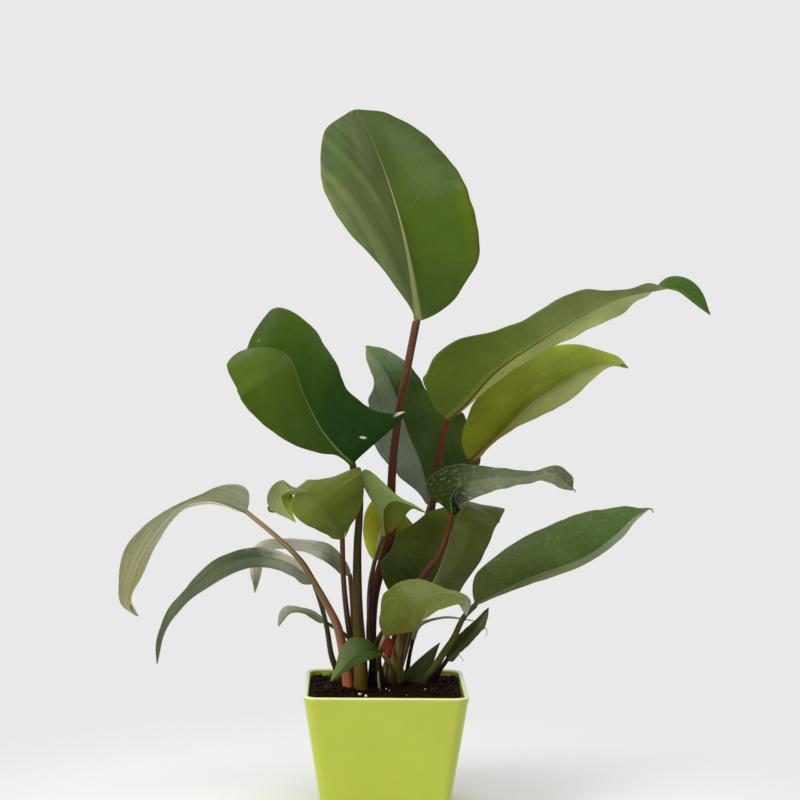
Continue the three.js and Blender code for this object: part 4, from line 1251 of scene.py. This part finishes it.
DRESS = {
    # The greyer left half of this blade is painted sheen; the deeper green right half is nearer its own colour.
    "top": LeafDress(
        LeafFinish("657345 4C5A2D", "50681A 3C4E12", "72834B", "7E9058", rib="A4AC74", rib_width=2.2, mottle=0.5,
            fold_shade_and_bump=0.8, vein=0.06, edge="6E7A22",
            spots=(Spot(0.74, 0.68, 0.17, 0.2, "4A7012", 0.35), Spot(0.8, 0.25, 0.2, 0.2, "62704C", 0.35),
                Spot(0.68, -0.5, 0.25, 0.4, "6E7E44", 0.2), Spot(0.35, -0.95, 0.3, 0.22, "66780E", 0.35))),
        Slot.GREEN, StalkFinish("341E10", "54260D", "634028", blush="3A1A10"), Slot.RED),
    # The darker right half of this blade is painted shade of the fold, and the lighter left half its lit side.
    "upper_left": LeafDress(
        LeafFinish("374B16 405313", "1B390A 354A0A", "6E8250", rib="66763C", rib_width=0.7, edge="5A6A2A", mottle=0.5,
            vein=0.06, specular=0.08,
            spots=(Spot(0.092, -0.407, 0.018, 0.035, "D8DCC8", 0.95), Spot(0.08, -1.0, 0.011, 0.13, "D8D4C0", 0.9),
                Spot(0.93, -0.19, 0.012, 0.05, "8A8A60", 0.6))),
        Slot.DARK, StalkFinish("5B4A0D", "3B330D", "472E0D", blush="3A1E0E"), Slot.OLIVE),
    # The pale grey left half of this blade is painted sheen.
    "back": LeafDress(
        LeafFinish("7A8671 8E9F7C", "3F5326 748B6A", "7E9078", rib="6A7450", rib_width=0.5, edge="6A7450",
            turn_low=0.7, turn_high=0.9, streak=0.5, mottle=0.8, specular=0.08),
        Slot.GREY, StalkFinish("A3420D", "4A2C18", "523624"), Slot.RED),
    # The pale colours of this blade's under face are painted light shining through it.
    "upper_right": LeafDress(
        LeafFinish("3A5818", "506A2C", "A8AE5F A0AD71", "586A19 768050", rib="5A3A20", rib_width=0.9, dry=0.015,
            tip="7A3A1E", edge="6A7A40", streak=0.2, mottle=0.5),
        Slot.GREEN, StalkFinish("4A2E1C", "4A2C18", "562A0D"), Slot.RED),
    # The olive-yellow left half is partly the young blade's own colour and partly painted light shining through it;
    # the paler right half is partly painted sheen.
    "yellow": LeafDress(
        LeafFinish("747B0A 9CA93D", "70723E 868C54", "969B5A", rib="6A4A1E", rib_width=0.7, streak=0.3, edge="8A8A3A",
            mottle=0.6),
        Slot.YELLOW, StalkFinish("4A2E1C", "4A2C18", "523624"), Slot.RED),
    "mid_right": LeafDress(
        LeafFinish("253308 575F44", "0A1705 697153", "8E9A70", rib="5A6A38", rib_width=0.4, mottle=0.9, edge="8A9468",
            flecks=0.5, turn_high=0.5, specular=0.08),
        Slot.GREEN, StalkFinish("A69353", "4A2C18", "583012", blush="40180E"), Slot.RED),
    "centre_dark": LeafDress(
        LeafFinish("28370A 555F1E", "454E2A 475014", "78845C", rib="9A8A6A", dry=0.02, mottle=0.5),
        Slot.DARK, StalkFinish("121212", "24160D", "5E5034", blush="2A1A0C"), Slot.TAN),
    "front_light": LeafDress(
        LeafFinish("555E17 676C3A", "4F4E0A 636A31", "969E78", rib="56602A", rib_width=0.5, edge="7A8440", flecks=0.2,
            mottle=0.7,
            spots=(Spot(1.0, 0.0, 0.16, 2.0, "A0A88C", 0.8),)),
        Slot.LIGHT, StalkFinish("2C2621", "383B0D", "987D5A", blush="2A1A0C"), Slot.TAN),
    "long_right": LeafDress(
        LeafFinish("414F1F 4C6030", "545C3C 707A5C", "8E9A78", rib="56663A", rib_width=0.4, mottle=0.7, streak=0.2,
            dry=0.02, tip="7A5A38", edge="8A9470", flecks=0.2),
        Slot.DARK, StalkFinish("40311A", "65641E", "4C4A20", blush="2A2E12"), Slot.OLIVE),
    "low_right": LeafDress(
        LeafFinish("3E5019 4F5F20", "636636 545F23", "8C9478", rib="56663A", rib_width=0.4, edge="8A9470", flecks=0.2),
        Slot.DARK, StalkFinish("181208", "282614", "42442C", blush="1A1408"), Slot.OLIVE),
    "drooping_pale": LeafDress(
        LeafFinish("8C8E69", "8C8E69", "91977A 9B9873", "D7D5C6 AFAE7B", rib="6E6E44", rib_width=0.8, streak=0.6,
            edge="8A8A62"),
        Slot.LIGHT, StalkFinish("B7694E", "716D47", "A89269", blush="9A3A22"), Slot.TAN),
    "drooping_dark": LeafDress(
        LeafFinish("999E83 475038", "E1E1CC 465237", "8E9A78", rib="6A7450", rib_width=0.4, streak=0.8, edge="7A8060",
            turn_high=0.35, mottle=0.8),
        Slot.GREY, StalkFinish("3A3822", "464226", "4C482A", blush="4A4A38"), Slot.OLIVE),
    "folded_grey": LeafDress(
        LeafFinish("47562C ABAA96", "72795A B4B4A0", "8E9268", rib="8A8A68", rib_width=0.4, streak=0.8, mottle=0.8,
            edge="8A8A68", turn_high=0.4,
            spots=(Spot(1.0, 0.0, 0.16, 2.0, "6E7438", 0.85),)),
        Slot.GREY, StalkFinish("3C3018", "543E24", "5C482C", blush="5A3A20"), Slot.TAN),
    "low_left": LeafDress(
        LeafFinish("6E7855", "9DA286", "969C80", rib="6A7450", rib_width=0.4, edge="8A8E70"),
        Slot.GREY, StalkFinish("40341A", "464220", "4C4A20"), Slot.OLIVE),
    "small_front": LeafDress(
        LeafFinish("31480A", "253C0A 62703C", "82906E", rib="3A5020", rib_width=0.4, edge="4A5A28", flecks=0.06,
            mottle=0.6),
        Slot.DARK, StalkFinish("40341A", "716324", "A4843B", blush="241808"), Slot.OLIVE),
    "mid_left": LeafDress(
        LeafFinish("636E2A 5D7230", "48580A 70712D", "9FA870", "A1B048", rib="6A5428", edge="6A6E2A", mottle=0.5,
            spots=(Spot(0.66, 0.33, 0.05, 0.35, "C08A2A", 0.75, under=1.0),
                Spot(0.02, -0.7, 0.05, 0.25, "C8C0A0", 0.6))),
        Slot.GREEN, StalkFinish("3C3222", "544630", "58301A"), Slot.RED),
    "centre_green": LeafDress(
        LeafFinish("819554", "58580A 3E560A", "788746", rib="8A9A58"),
        Slot.GREEN, StalkFinish("301C10", "3A2012", "463C22", blush="3A1A10"), Slot.TAN),
    "lime": LeafDress(
        LeafFinish("C8C843 858E0A", "787A14", "A0A03C", rib="8A8A3A",
            spots=(Spot(0.3, -0.08, 0.35, 0.1, "B4B680", 0.6),)),
        Slot.YELLOW, StalkFinish("40341A", "464220", "4C4A20"), Slot.OLIVE),
    "young_red": LeafDress(
        LeafFinish("8E2E1E", "8E2E1E", "964632", rib="A85A40", edge="7A2A1A"),
        Slot.RED, StalkFinish("4A2E1C", "95775D", "523624"), Slot.RED),
    "thin_back": LeafDress(
        LeafFinish("98A284", "98A284", "A0A88C", rib="A0A888", rib_width=0.5, edge="A0A888"),
        Slot.LIGHT, StalkFinish("40341A", "464220", "4C4A20"), Slot.OLIVE),
}


@dataclass(frozen=True)
class Shoot:
    """A shoot without a blade: the points of its end and of its stalk, its radii and its looks."""

    name: str
    end: Points
    stalk: Points
    radius: Pair
    taper: float
    finish: StalkFinish
    slot: Slot


SHEATH = Shoot(
    "sheath_right", ((48, 36, 139), (52, 36, 146)), ((28, 38, 104), (33, 38, 115), (41, 37, 129)), (13, 0.4), 1,
    StalkFinish("3E4618", "4A5A30", "5A6A40", blush="2A3414"), Slot.DARK)
AERIAL_ROOT = Shoot(
    "aerial_root", ((-6, 3, 127), (-5, 3, 131)), ((-5, 3, 104), (-6, 3, 115)), (1.3, 0.8), 2,
    StalkFinish("8A846A", "A8A48C", "A8A48C", blush="8A8064"), Slot.ROOT)


@dataclass
class Foliage:
    """All leaves, and the shoots without a blade."""

    blades: BladeBuilder = field(default_factory=BladeBuilder)
    stalks: StalkBuilder = field(default_factory=StalkBuilder)
    thread_finish: StalkFinish = StalkFinish("6E7450", "6A6A48", "5A4A34", blush="7E7A5C")

    def build(self) -> None:
        """Makes and dresses every leaf and shoot."""
        tissue, spot, skin = leaf_tissue_group(), leaf_spot_group(), stalk_skin_group()
        for shape in LEAVES:
            name, dress = shape.name, DRESS[shape.name]
            look = dress.blade.material(f"{name}_tissue", tissue, spot)
            add_piece(f"{name}_blade", self.blades.surface(shape), look, dress.blade_slot, f"blade_{name}")
            look = dress.stalk.material(f"{name}_stalk_skin", skin)
            stalk = self.stalks.surface(shape.spine, shape.petiole, shape.radius)
            add_piece(f"{name}_stalk", stalk, look, dress.stalk_slot, f"petiole_{name}")
        self.shoot(SHEATH, skin)
        grey = self.thread_finish.material("thread_finish", skin)
        for name, threads in THREADS.items():
            add_piece(name, joined([thread.surface() for thread in threads]), grey, Slot.GREY)
        self.shoot(AERIAL_ROOT, skin)

    def shoot(self, shoot: Shoot, skin: NodeTree) -> None:
        """Makes and dresses a shoot.

        Args:
            shoot: its points, radii and looks.
            skin: the stalk skin group.
        """
        look = shoot.finish.material(f"{shoot.name}_finish", skin)
        made = self.stalks.surface(shoot.end, shoot.stalk, shoot.radius, shoot.taper)
        add_piece(f"{shoot.name}_fine", made, look, shoot.slot, shoot.name)


# ---- Planter and potting mix


def rounded_square(half_width: float, corner: float, corner_steps: int, side_steps: int) -> Array:
    """A level square with rounded corners, as x and y of a closed loop.

    Args:
        half_width: half the width.
        corner: radius of the corners.
        corner_steps: steps in each corner.
        side_steps: steps along each straight side.

    Returns:
        Points of the loop, anticlockwise.
    """
    angle = np.linspace(0, np.pi / 2, corner_steps + 1)
    centre = half_width - corner
    arc = np.stack([centre + corner * np.cos(angle), centre + corner * np.sin(angle)], axis=1)
    side_x = centre - 2 * centre * np.arange(1, side_steps) / side_steps
    quarter = np.vstack([arc, np.stack([side_x, np.full(side_steps - 1, half_width)], axis=1)])
    turns = [(math.cos(turn), math.sin(turn)) for turn in (step * math.pi / 2 for step in range(4))]
    return np.vstack([quarter @ np.array([[cosine, sine], [-sine, cosine]]) for cosine, sine in turns])


@dataclass
class Planter:
    """The square planter, of lime plastic with a rounded lip."""

    width: float = 140.0
    height: float = 110.0
    foot_width: float = 106.0
    corner: float = 11.0
    corner_loss: float = 0.2
    lip_width: float = 4.2
    wall: float = 3.4
    floor: float = 5.0
    foot_edge: float = 2.0
    corner_steps: int = 14
    side_steps: int = 6
    lip_steps: int = 14
    foot_steps: int = 6
    outer_steps: int = 9
    inner_steps: int = 8
    colour: str = "AEBB22"
    cloud_colour: str = "BCC832"
    painted_highlight_colour: str = "E2E6B4"
    painted_highlight_inset: float = 0.6
    painted_highlight_strength: float = 0.75
    cloud_scale: float = 18.0
    scuff_scale: float = 260.0
    scuff_stretch: Triple = (1.0, 1.0, 6.0)
    smoothest: float = 0.16
    relief: float = 0.00005
    coat: float = 0.5
    coat_roughness: float = 0.08

    def outer_half(self, z: float) -> float:
        """Half the outer width at a height."""
        return (self.foot_width + (self.width - self.foot_width) * z / self.height) / 2

    def profile(self) -> list[Pair]:
        """The line that is turned into the shell.

        Returns:
            Half widths and heights from the middle of the foot, over the lip, to the inner floor.
        """
        edge, lip = self.foot_edge, self.lip_width / 2
        outside = [(self.outer_half(0) - edge, 0.0)]
        for angle in np.linspace(0, np.pi / 2, self.foot_steps)[1:]:
            z = edge * (1 - math.cos(angle))
            outside.append((self.outer_half(z) - edge * (1 - math.sin(angle)), z))
        rise = np.linspace(edge, self.height - 2 * lip, self.outer_steps)[1:]
        outside += [(self.outer_half(z), float(z)) for z in rise]
        turn = np.linspace(0, np.pi, self.lip_steps + 1)
        over = [(self.width / 2 - lip + lip * math.cos(a), self.height - lip + lip * math.sin(a)) for a in turn]
        fall = np.linspace(self.height - 3 * lip, self.floor + edge, self.inner_steps)
        inside = [(self.outer_half(z) - self.wall, float(z)) for z in fall]
        inside.append((self.outer_half(self.floor) - self.wall - edge, self.floor))
        return outside + over + inside

    def surface(self) -> Surface:
        """A rounded square at each point of the profile.

        Returns:
            The closed surface.
        """
        loops = []
        for half, z in self.profile():
            corner = self.corner - (self.width / 2 - half) * self.corner_loss
            flat = rounded_square(half, corner, self.corner_steps, self.side_steps)
            loops.append(np.column_stack([flat, np.full(len(flat), z)]))
        return loft(np.stack(loops))

    def material(self) -> Material:
        """Glossy lime plastic with faint clouding, fine scuffs and a painted highlight along the top of the lip.

        Returns:
            The material.
        """
        material, sheet = new_material("lime_plastic")
        place = sheet.place()
        scuff = sheet.noise(sheet.stretched(place, self.scuff_stretch), self.scuff_scale)
        body = sheet.mix(sheet.noise(place, self.cloud_scale), linear(self.colour), linear(self.cloud_colour))
        # A paler colour painted along the top of the lip: a painted highlight.
        lip_low, lip_high = (self.height - self.lip_width / 2) * MM, (self.height - self.painted_highlight_inset) * MM
        painted_highlight = sheet.rise(sheet.parts(place)[2], lip_low, lip_high, 0.0, self.painted_highlight_strength)
        rough = sheet.plus(sheet.times(scuff, 0.16), self.smoothest)
        sheet.surface(sheet.mix(painted_highlight, body, linear(self.painted_highlight_colour)), rough, scuff, self.relief)
        coat = {"Coat Weight": self.coat, "Coat Roughness": self.coat_roughness}
        sheet.feed(sheet.tree.nodes["Principled BSDF"], coat)
        return material

    def build(self) -> None:
        """Makes and dresses the planter."""
        add_piece("planter_shell", self.surface(), self.material(), Slot.GLAZE, "planter")


@dataclass
class PottingMix:
    """The crumbly soil, with loose crumbs and white perlite."""

    planter: Planter
    level: float = 104.0
    relief: float = 2.2
    gap: float = 0.3
    rings: int = 70
    corner_steps: int = 12
    side_steps: int = 44
    corner_share: float = 0.7
    rough_waves: int = 24
    rough_pitches: Pair = (9.0, 1.4)
    roughness: float = 0.045
    edge_drop: float = 4.0
    last_ring: float = 0.004
    rim_fade: Pair = (-0.01, 0.05)
    crumbs: int = 900
    crumb_radii: Pair = (0.5, 2.3)
    crumb_sink: float = 0.3
    grains: int = 45
    grain_radii: Pair = (0.3, 0.8)
    grain_sink: float = 0.1
    large_grains: Points = (
        (-22.1, -31.3, 1.5), (-17, -35.7, 1.6), (-12.1, 34.3, 1.2), (0.6, -3.2, 1.1),
        (25, 35.4, 1.1), (57.8, 60.8, 0.9), (34.3, -6.9, 0.8), (9.5, 59.3, 0.9))
    lump_rings: int = 5
    lump_sides: int = 8
    lump_pole: float = 0.12
    lump_stretch: Pair = (0.65, 1.3)
    dent_waves: float = 2.6
    dent_depth: float = 0.22
    soil_colours: tuple[str, ...] = ("0B0502", "28140A", "5A3822")
    soil_bump: float = 0.0012
    soil_specular: float = 0.05
    perlite_colours: tuple[str, ...] = ("E4E0D4", "9A8A74")
    perlite_bump: float = 0.0004
    margin: float = 6.0
    seed: int = 7

    def height_at(self, x: Array, y: Array) -> Array:
        """The surface as the CAD solid has it: three crossing waves of different pitch.

        Args:
            x: places to the right.
            y: places to the back.

        Returns:
            Heights above the floor.
        """
        broad = np.sin(x / 17 + 0.6) * np.cos(y / 19 - 0.4)
        middle = np.sin(x / 7.3 + y / 9.1) * np.cos(y / 6.1 - x / 11.7)
        fine = np.sin(x / 2.9 - 1.3) * np.sin(y / 3.3 + 0.8)
        return self.level + self.relief * (0.5 * broad + 0.35 * middle + 0.25 * fine)

    def rough_at(self, x: Array, y: Array, random: Random) -> Array:
        """Fine roughness: crossing waves of random way and start, lower as their pitch gets finer.

        Args:
            x: places to the right.
            y: places to the back.
            random: source of chance.

        Returns:
            The height of the roughness at each place.
        """
        total = np.zeros_like(x)
        for pitch in np.geomspace(*self.rough_pitches, self.rough_waves):
            angle, start = random.uniform(0, 2 * np.pi, 2)
            wave = np.sin((x * math.cos(angle) + y * math.sin(angle)) * 2 * np.pi / pitch + start)
            total += self.roughness * pitch**0.8 * (np.abs(wave) - 0.5)
        return total

    def loop(self, half: float) -> Array:
        """A rounded square that fits in the planter, as x and y."""
        corner = self.planter.corner * half / (self.planter.width / 2) * self.corner_share
        return rounded_square(half, corner, self.corner_steps, self.side_steps)

    def surface(self, random: Random) -> Surface:
        """The closed surface: walls that follow the planter, and a top of shrinking loops.

        Args:
            random: source of chance.

        Returns:
            The surface.
        """
        planter, gap = self.planter, self.gap
        edge = planter.outer_half(self.level - self.edge_drop) - planter.wall - 2 * gap
        bottom, bevel = planter.floor + gap, planter.foot_edge + gap
        low = planter.outer_half(bottom) - planter.wall
        walls = [(self.loop(half), z) for half, z in ((low - bevel - gap, bottom), (low - 2 * gap, bottom + bevel))]
        loops = [np.column_stack([flat, np.full(len(flat), z)]) for flat, z in walls]
        flats = np.stack([self.loop(edge * share) for share in np.linspace(1, self.last_ring, self.rings)])
        x, y = flats[..., 0], flats[..., 1]
        rim = 1 - np.maximum(np.abs(x), np.abs(y)) / edge
        z = self.height_at(x, y) + self.rough_at(x, y, random) * smooth_step(rim, *self.rim_fade)
        return loft(np.concatenate([np.stack(loops), np.stack([x, y, z], axis=-1)]))

    def scattered(self, count: int, radii: Pair, random: Random) -> Array:
        """Random lumps: most are small, and few come near the upper limit.

        Args:
            count: number of lumps.
            radii: limits of the radius.
            random: source of chance.

        Returns:
            Places in both ways, and radii.
        """
        edge = self.planter.width / 2 - self.planter.wall - self.margin
        x, y = random.uniform(-edge, edge, (2, count))
        return np.stack([x, y, radii[0] + (radii[1] - radii[0]) * random.random(count) ** 2])

    def pebbles(self, lumps: Array, sink: float, random: Random) -> Surface:
        """Loose lumps on the surface.

        Each lump is a ball of a few rings, stretched and bent by random waves.

        Args:
            lumps: places in both ways, and radii.
            sink: share of the radius that is buried.
            random: source of chance.

        Returns:
            All lumps as one surface.
        """
        polar = np.linspace(self.lump_pole, np.pi - self.lump_pole, self.lump_rings)[:, None]
        turn = (np.arange(self.lump_sides) / self.lump_sides * 2 * np.pi)[None, :]
        ball = [np.sin(polar) * np.cos(turn), np.sin(polar) * np.sin(turn), np.cos(polar) + 0 * turn]
        ball = np.stack(ball, axis=-1)
        x, y, size = lumps
        z = self.height_at(x, y) + size * (1 - 2 * sink)
        stretch = random.uniform(*self.lump_stretch, (len(x), 1, 1, 3))
        waves = np.einsum("rsk,ck->crs", ball, random.normal(0, self.dent_waves, (len(x), 3)))
        dents = (1 + self.dent_depth * np.sin(waves))[..., None]
        placed = ball[None] * stretch * dents * size[:, None, None, None]
        placed += np.stack([x, y, z], axis=-1)[:, None, None]
        starts = (np.arange(len(x)) * self.lump_rings * self.lump_sides)[:, None, None]
        return Surface(placed.reshape(-1, 3), (loft(ball).faces[None] + starts).reshape(-1, 4))

    def earth(self) -> Material:
        """Dark, damp, crumbly soil.

        Returns:
            The material.
        """
        material, sheet = new_material("damp_soil")
        clump, grit = sheet.noise(sheet.place(), 160.0, 4.0), sheet.noise(sheet.place(), 900.0, 3.0, 0.7)
        dark, light, speck = (linear(code) for code in self.soil_colours)
        base = sheet.mix(sheet.rise(grit, 0.55, 0.7), sheet.mix(clump, dark, light), speck)
        rough = sheet.rise(clump, 0.2, 0.8, 0.6, 0.95)
        sheet.surface(base, rough, grit, self.soil_bump, self.soil_specular)
        return material

    def perlite(self) -> Material:
        """Chalky white grains, a little stained.

        Returns:
            The material.
        """
        material, sheet = new_material("perlite")
        stain = sheet.noise(sheet.place(), 500.0)
        base = sheet.mix(sheet.rise(stain, 0.45, 0.75), *(linear(code) for code in self.perlite_colours))
        sheet.surface(base, sheet.rise(stain, 0.0, 1.0, 0.75, 0.95), stain, self.perlite_bump)
        return material

    def build(self) -> None:
        """Makes and dresses the soil, its crumbs and its perlite."""
        random = np.random.default_rng(self.seed)
        earth = self.earth()
        add_piece("soil_bed", self.surface(random), earth, Slot.SOIL, "soil")
        crumbs = self.pebbles(self.scattered(self.crumbs, self.crumb_radii, random), self.crumb_sink, random)
        add_piece("soil_crumbs", crumbs, earth, Slot.SOIL)
        small = self.scattered(self.grains, self.grain_radii, random)
        grains = self.pebbles(np.hstack([small, np.array(self.large_grains).T]), self.grain_sink, random)
        add_piece("perlite_grains", grains, self.perlite(), Slot.SOIL)


# ---- Studio


@dataclass(frozen=True)
class Lamp:
    """A soft rectangular light: its place in metres, its width and height, and its watts."""

    name: str
    place: Triple
    size: Pair
    power: float

    def build(self, target: Triple) -> None:
        """Adds the light.

        Args:
            target: what the light is turned to, in metres.
        """
        data = bpy.data.lights.new(self.name, "AREA")
        data.shape, data.energy = "RECTANGLE", self.power
        data.size, data.size_y = self.size
        lamp = bpy.data.objects.new(self.name, data)
        lamp.location = self.place
        lamp.rotation_euler = (Vector(target) - Vector(self.place)).to_track_quat("-Z", "Y").to_euler()
        bpy.context.scene.collection.objects.link(lamp)


@dataclass
class Studio:
    """The pale floor, the soft lights and the camera."""

    lens: float = 107.1
    sensor: float = 36.0
    clip_end: float = 100.0
    camera_place: Triple = (-0.0335, -2.045, 0.490)
    yaw: float = 1.23
    pitch: float = 3.74
    roll: float = 0.54
    background: float = 0.815
    floor_radius: float = 6.0
    floor_sides: int = 96
    floor_fade: Pair = (0.12, 0.5)
    paper: float = 0.8
    paper_roughness: float = 0.9
    paper_specular: float = 0.1
    overhead: float = 0.5
    left_wall: float = 0.25
    back_wall: float = 0.65
    front_wall: float = 0.06
    target: Triple = (0, 0, 0.3)
    lamps: tuple[Lamp, ...] = (
        Lamp("key_light", (-2.1, -1.7, 1.7), (1.2, 1.2), 52.0), Lamp("top_light", (0.3, -0.7, 2.6), (1.8, 1.8), 30.0))

    def camera(self) -> None:
        """Adds the camera, turned to the right by yaw, down by pitch and over by roll."""
        yaw, pitch, roll = (math.radians(v) for v in (self.yaw, self.pitch, self.roll))
        level = Vector((math.cos(yaw), -math.sin(yaw), 0))
        ahead = Vector((math.sin(yaw) * math.cos(pitch), math.cos(yaw) * math.cos(pitch), -math.sin(pitch)))
        above = level.cross(ahead)
        right = level * math.cos(roll) + above * math.sin(roll)
        top = above * math.cos(roll) - level * math.sin(roll)
        data = bpy.data.cameras.new("studio_camera")
        data.lens, data.sensor_width, data.clip_end = self.lens, self.sensor, self.clip_end
        camera = bpy.data.objects.new("studio_camera", data)
        turned = Matrix((right, top, -ahead)).transposed().to_4x4()
        camera.matrix_world = Matrix.Translation(self.camera_place) @ turned
        bpy.context.scene.collection.objects.link(camera)
        bpy.context.scene.camera = camera

    def world(self) -> None:
        """Sets the surroundings: even and pale to the camera, and a soft room to the plant.

        The room is bright overhead and behind, and dim in front, as a light tent by a wall is.
        """
        world = bpy.data.worlds.new("studio")
        bpy.context.scene.world = world
        world.use_nodes = True
        sheet = NodeSheet(world.node_tree)
        shown = world.node_tree.nodes["Background"]
        shown.inputs[0].default_value = (*[self.background] * 3, 1)
        x, y, z = sheet.parts(sheet.node("TexCoord", {}).outputs["Generated"])
        above = sheet.rise(z, -0.1, 1.0, 0.0, self.overhead)
        left = sheet.rise(x, 0.1, -1.0, 0.0, self.left_wall)
        behind = sheet.rise(y, -0.1, 0.9, self.front_wall, self.back_wall)
        room = sheet.node("Background", {0: (1, 1, 1, 1), 1: sheet.plus(above, left, behind)})
        rays = sheet.node("LightPath", {}).outputs["Is Camera Ray"]
        sheet.end_with("World Output", rays, room, shown)

    def floor(self) -> None:
        """Adds a wide pale floor that fades into the background away from the plant."""
        turn = np.linspace(0, 2 * np.pi, self.floor_sides, endpoint=False)
        loop = np.stack([np.cos(turn), np.sin(turn), 0 * turn], axis=1) * self.floor_radius
        mesh = bpy.data.meshes.new("studio_floor")
        mesh.from_pydata(loop.tolist(), [], [list(range(len(loop)))])
        floor = bpy.data.objects.new("studio_floor", mesh)
        bpy.context.scene.collection.objects.link(floor)
        material, sheet = new_material("studio_paper")
        paper = sheet.tree.nodes["Principled BSDF"]
        looks = {"Roughness": self.paper_roughness, "Specular IOR Level": self.paper_specular}
        sheet.feed(paper, looks | {"Base Color": (*[self.paper] * 3, 1)})
        x, y, _ = sheet.parts(sheet.place())
        far = sheet.math("SQRT", sheet.plus(sheet.times(x, x), sheet.times(y, y)))
        glow = sheet.node("Emission", {0: (*[self.background] * 3, 1), 1: 1.0})
        sheet.end_with("Material Output", sheet.rise(far, *self.floor_fade), paper, glow)
        mesh.materials.append(material)

    def build(self) -> None:
        """Makes the whole studio."""
        bpy.context.scene.view_settings.view_transform = "Standard"
        self.camera()
        self.world()
        self.floor()
        for lamp in self.lamps:
            lamp.build(self.target)
        LOG.info("studio: camera, floor and lights")


def corners(bounds: tuple[Triple, Triple]) -> list[list[float]]:
    """The two corners of a box as plain lists."""
    return [[float(v) for v in corner] for corner in bounds]


def main() -> None:
    """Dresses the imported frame."""
    logging.basicConfig(level=logging.INFO, format="%(message)s")
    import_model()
    Studio().build()
    planter = Planter()
    planter.build()
    PottingMix(planter).build()
    Foliage().build()
    bpy.context.view_layer.update()


if __name__ == "__main__":
    main()
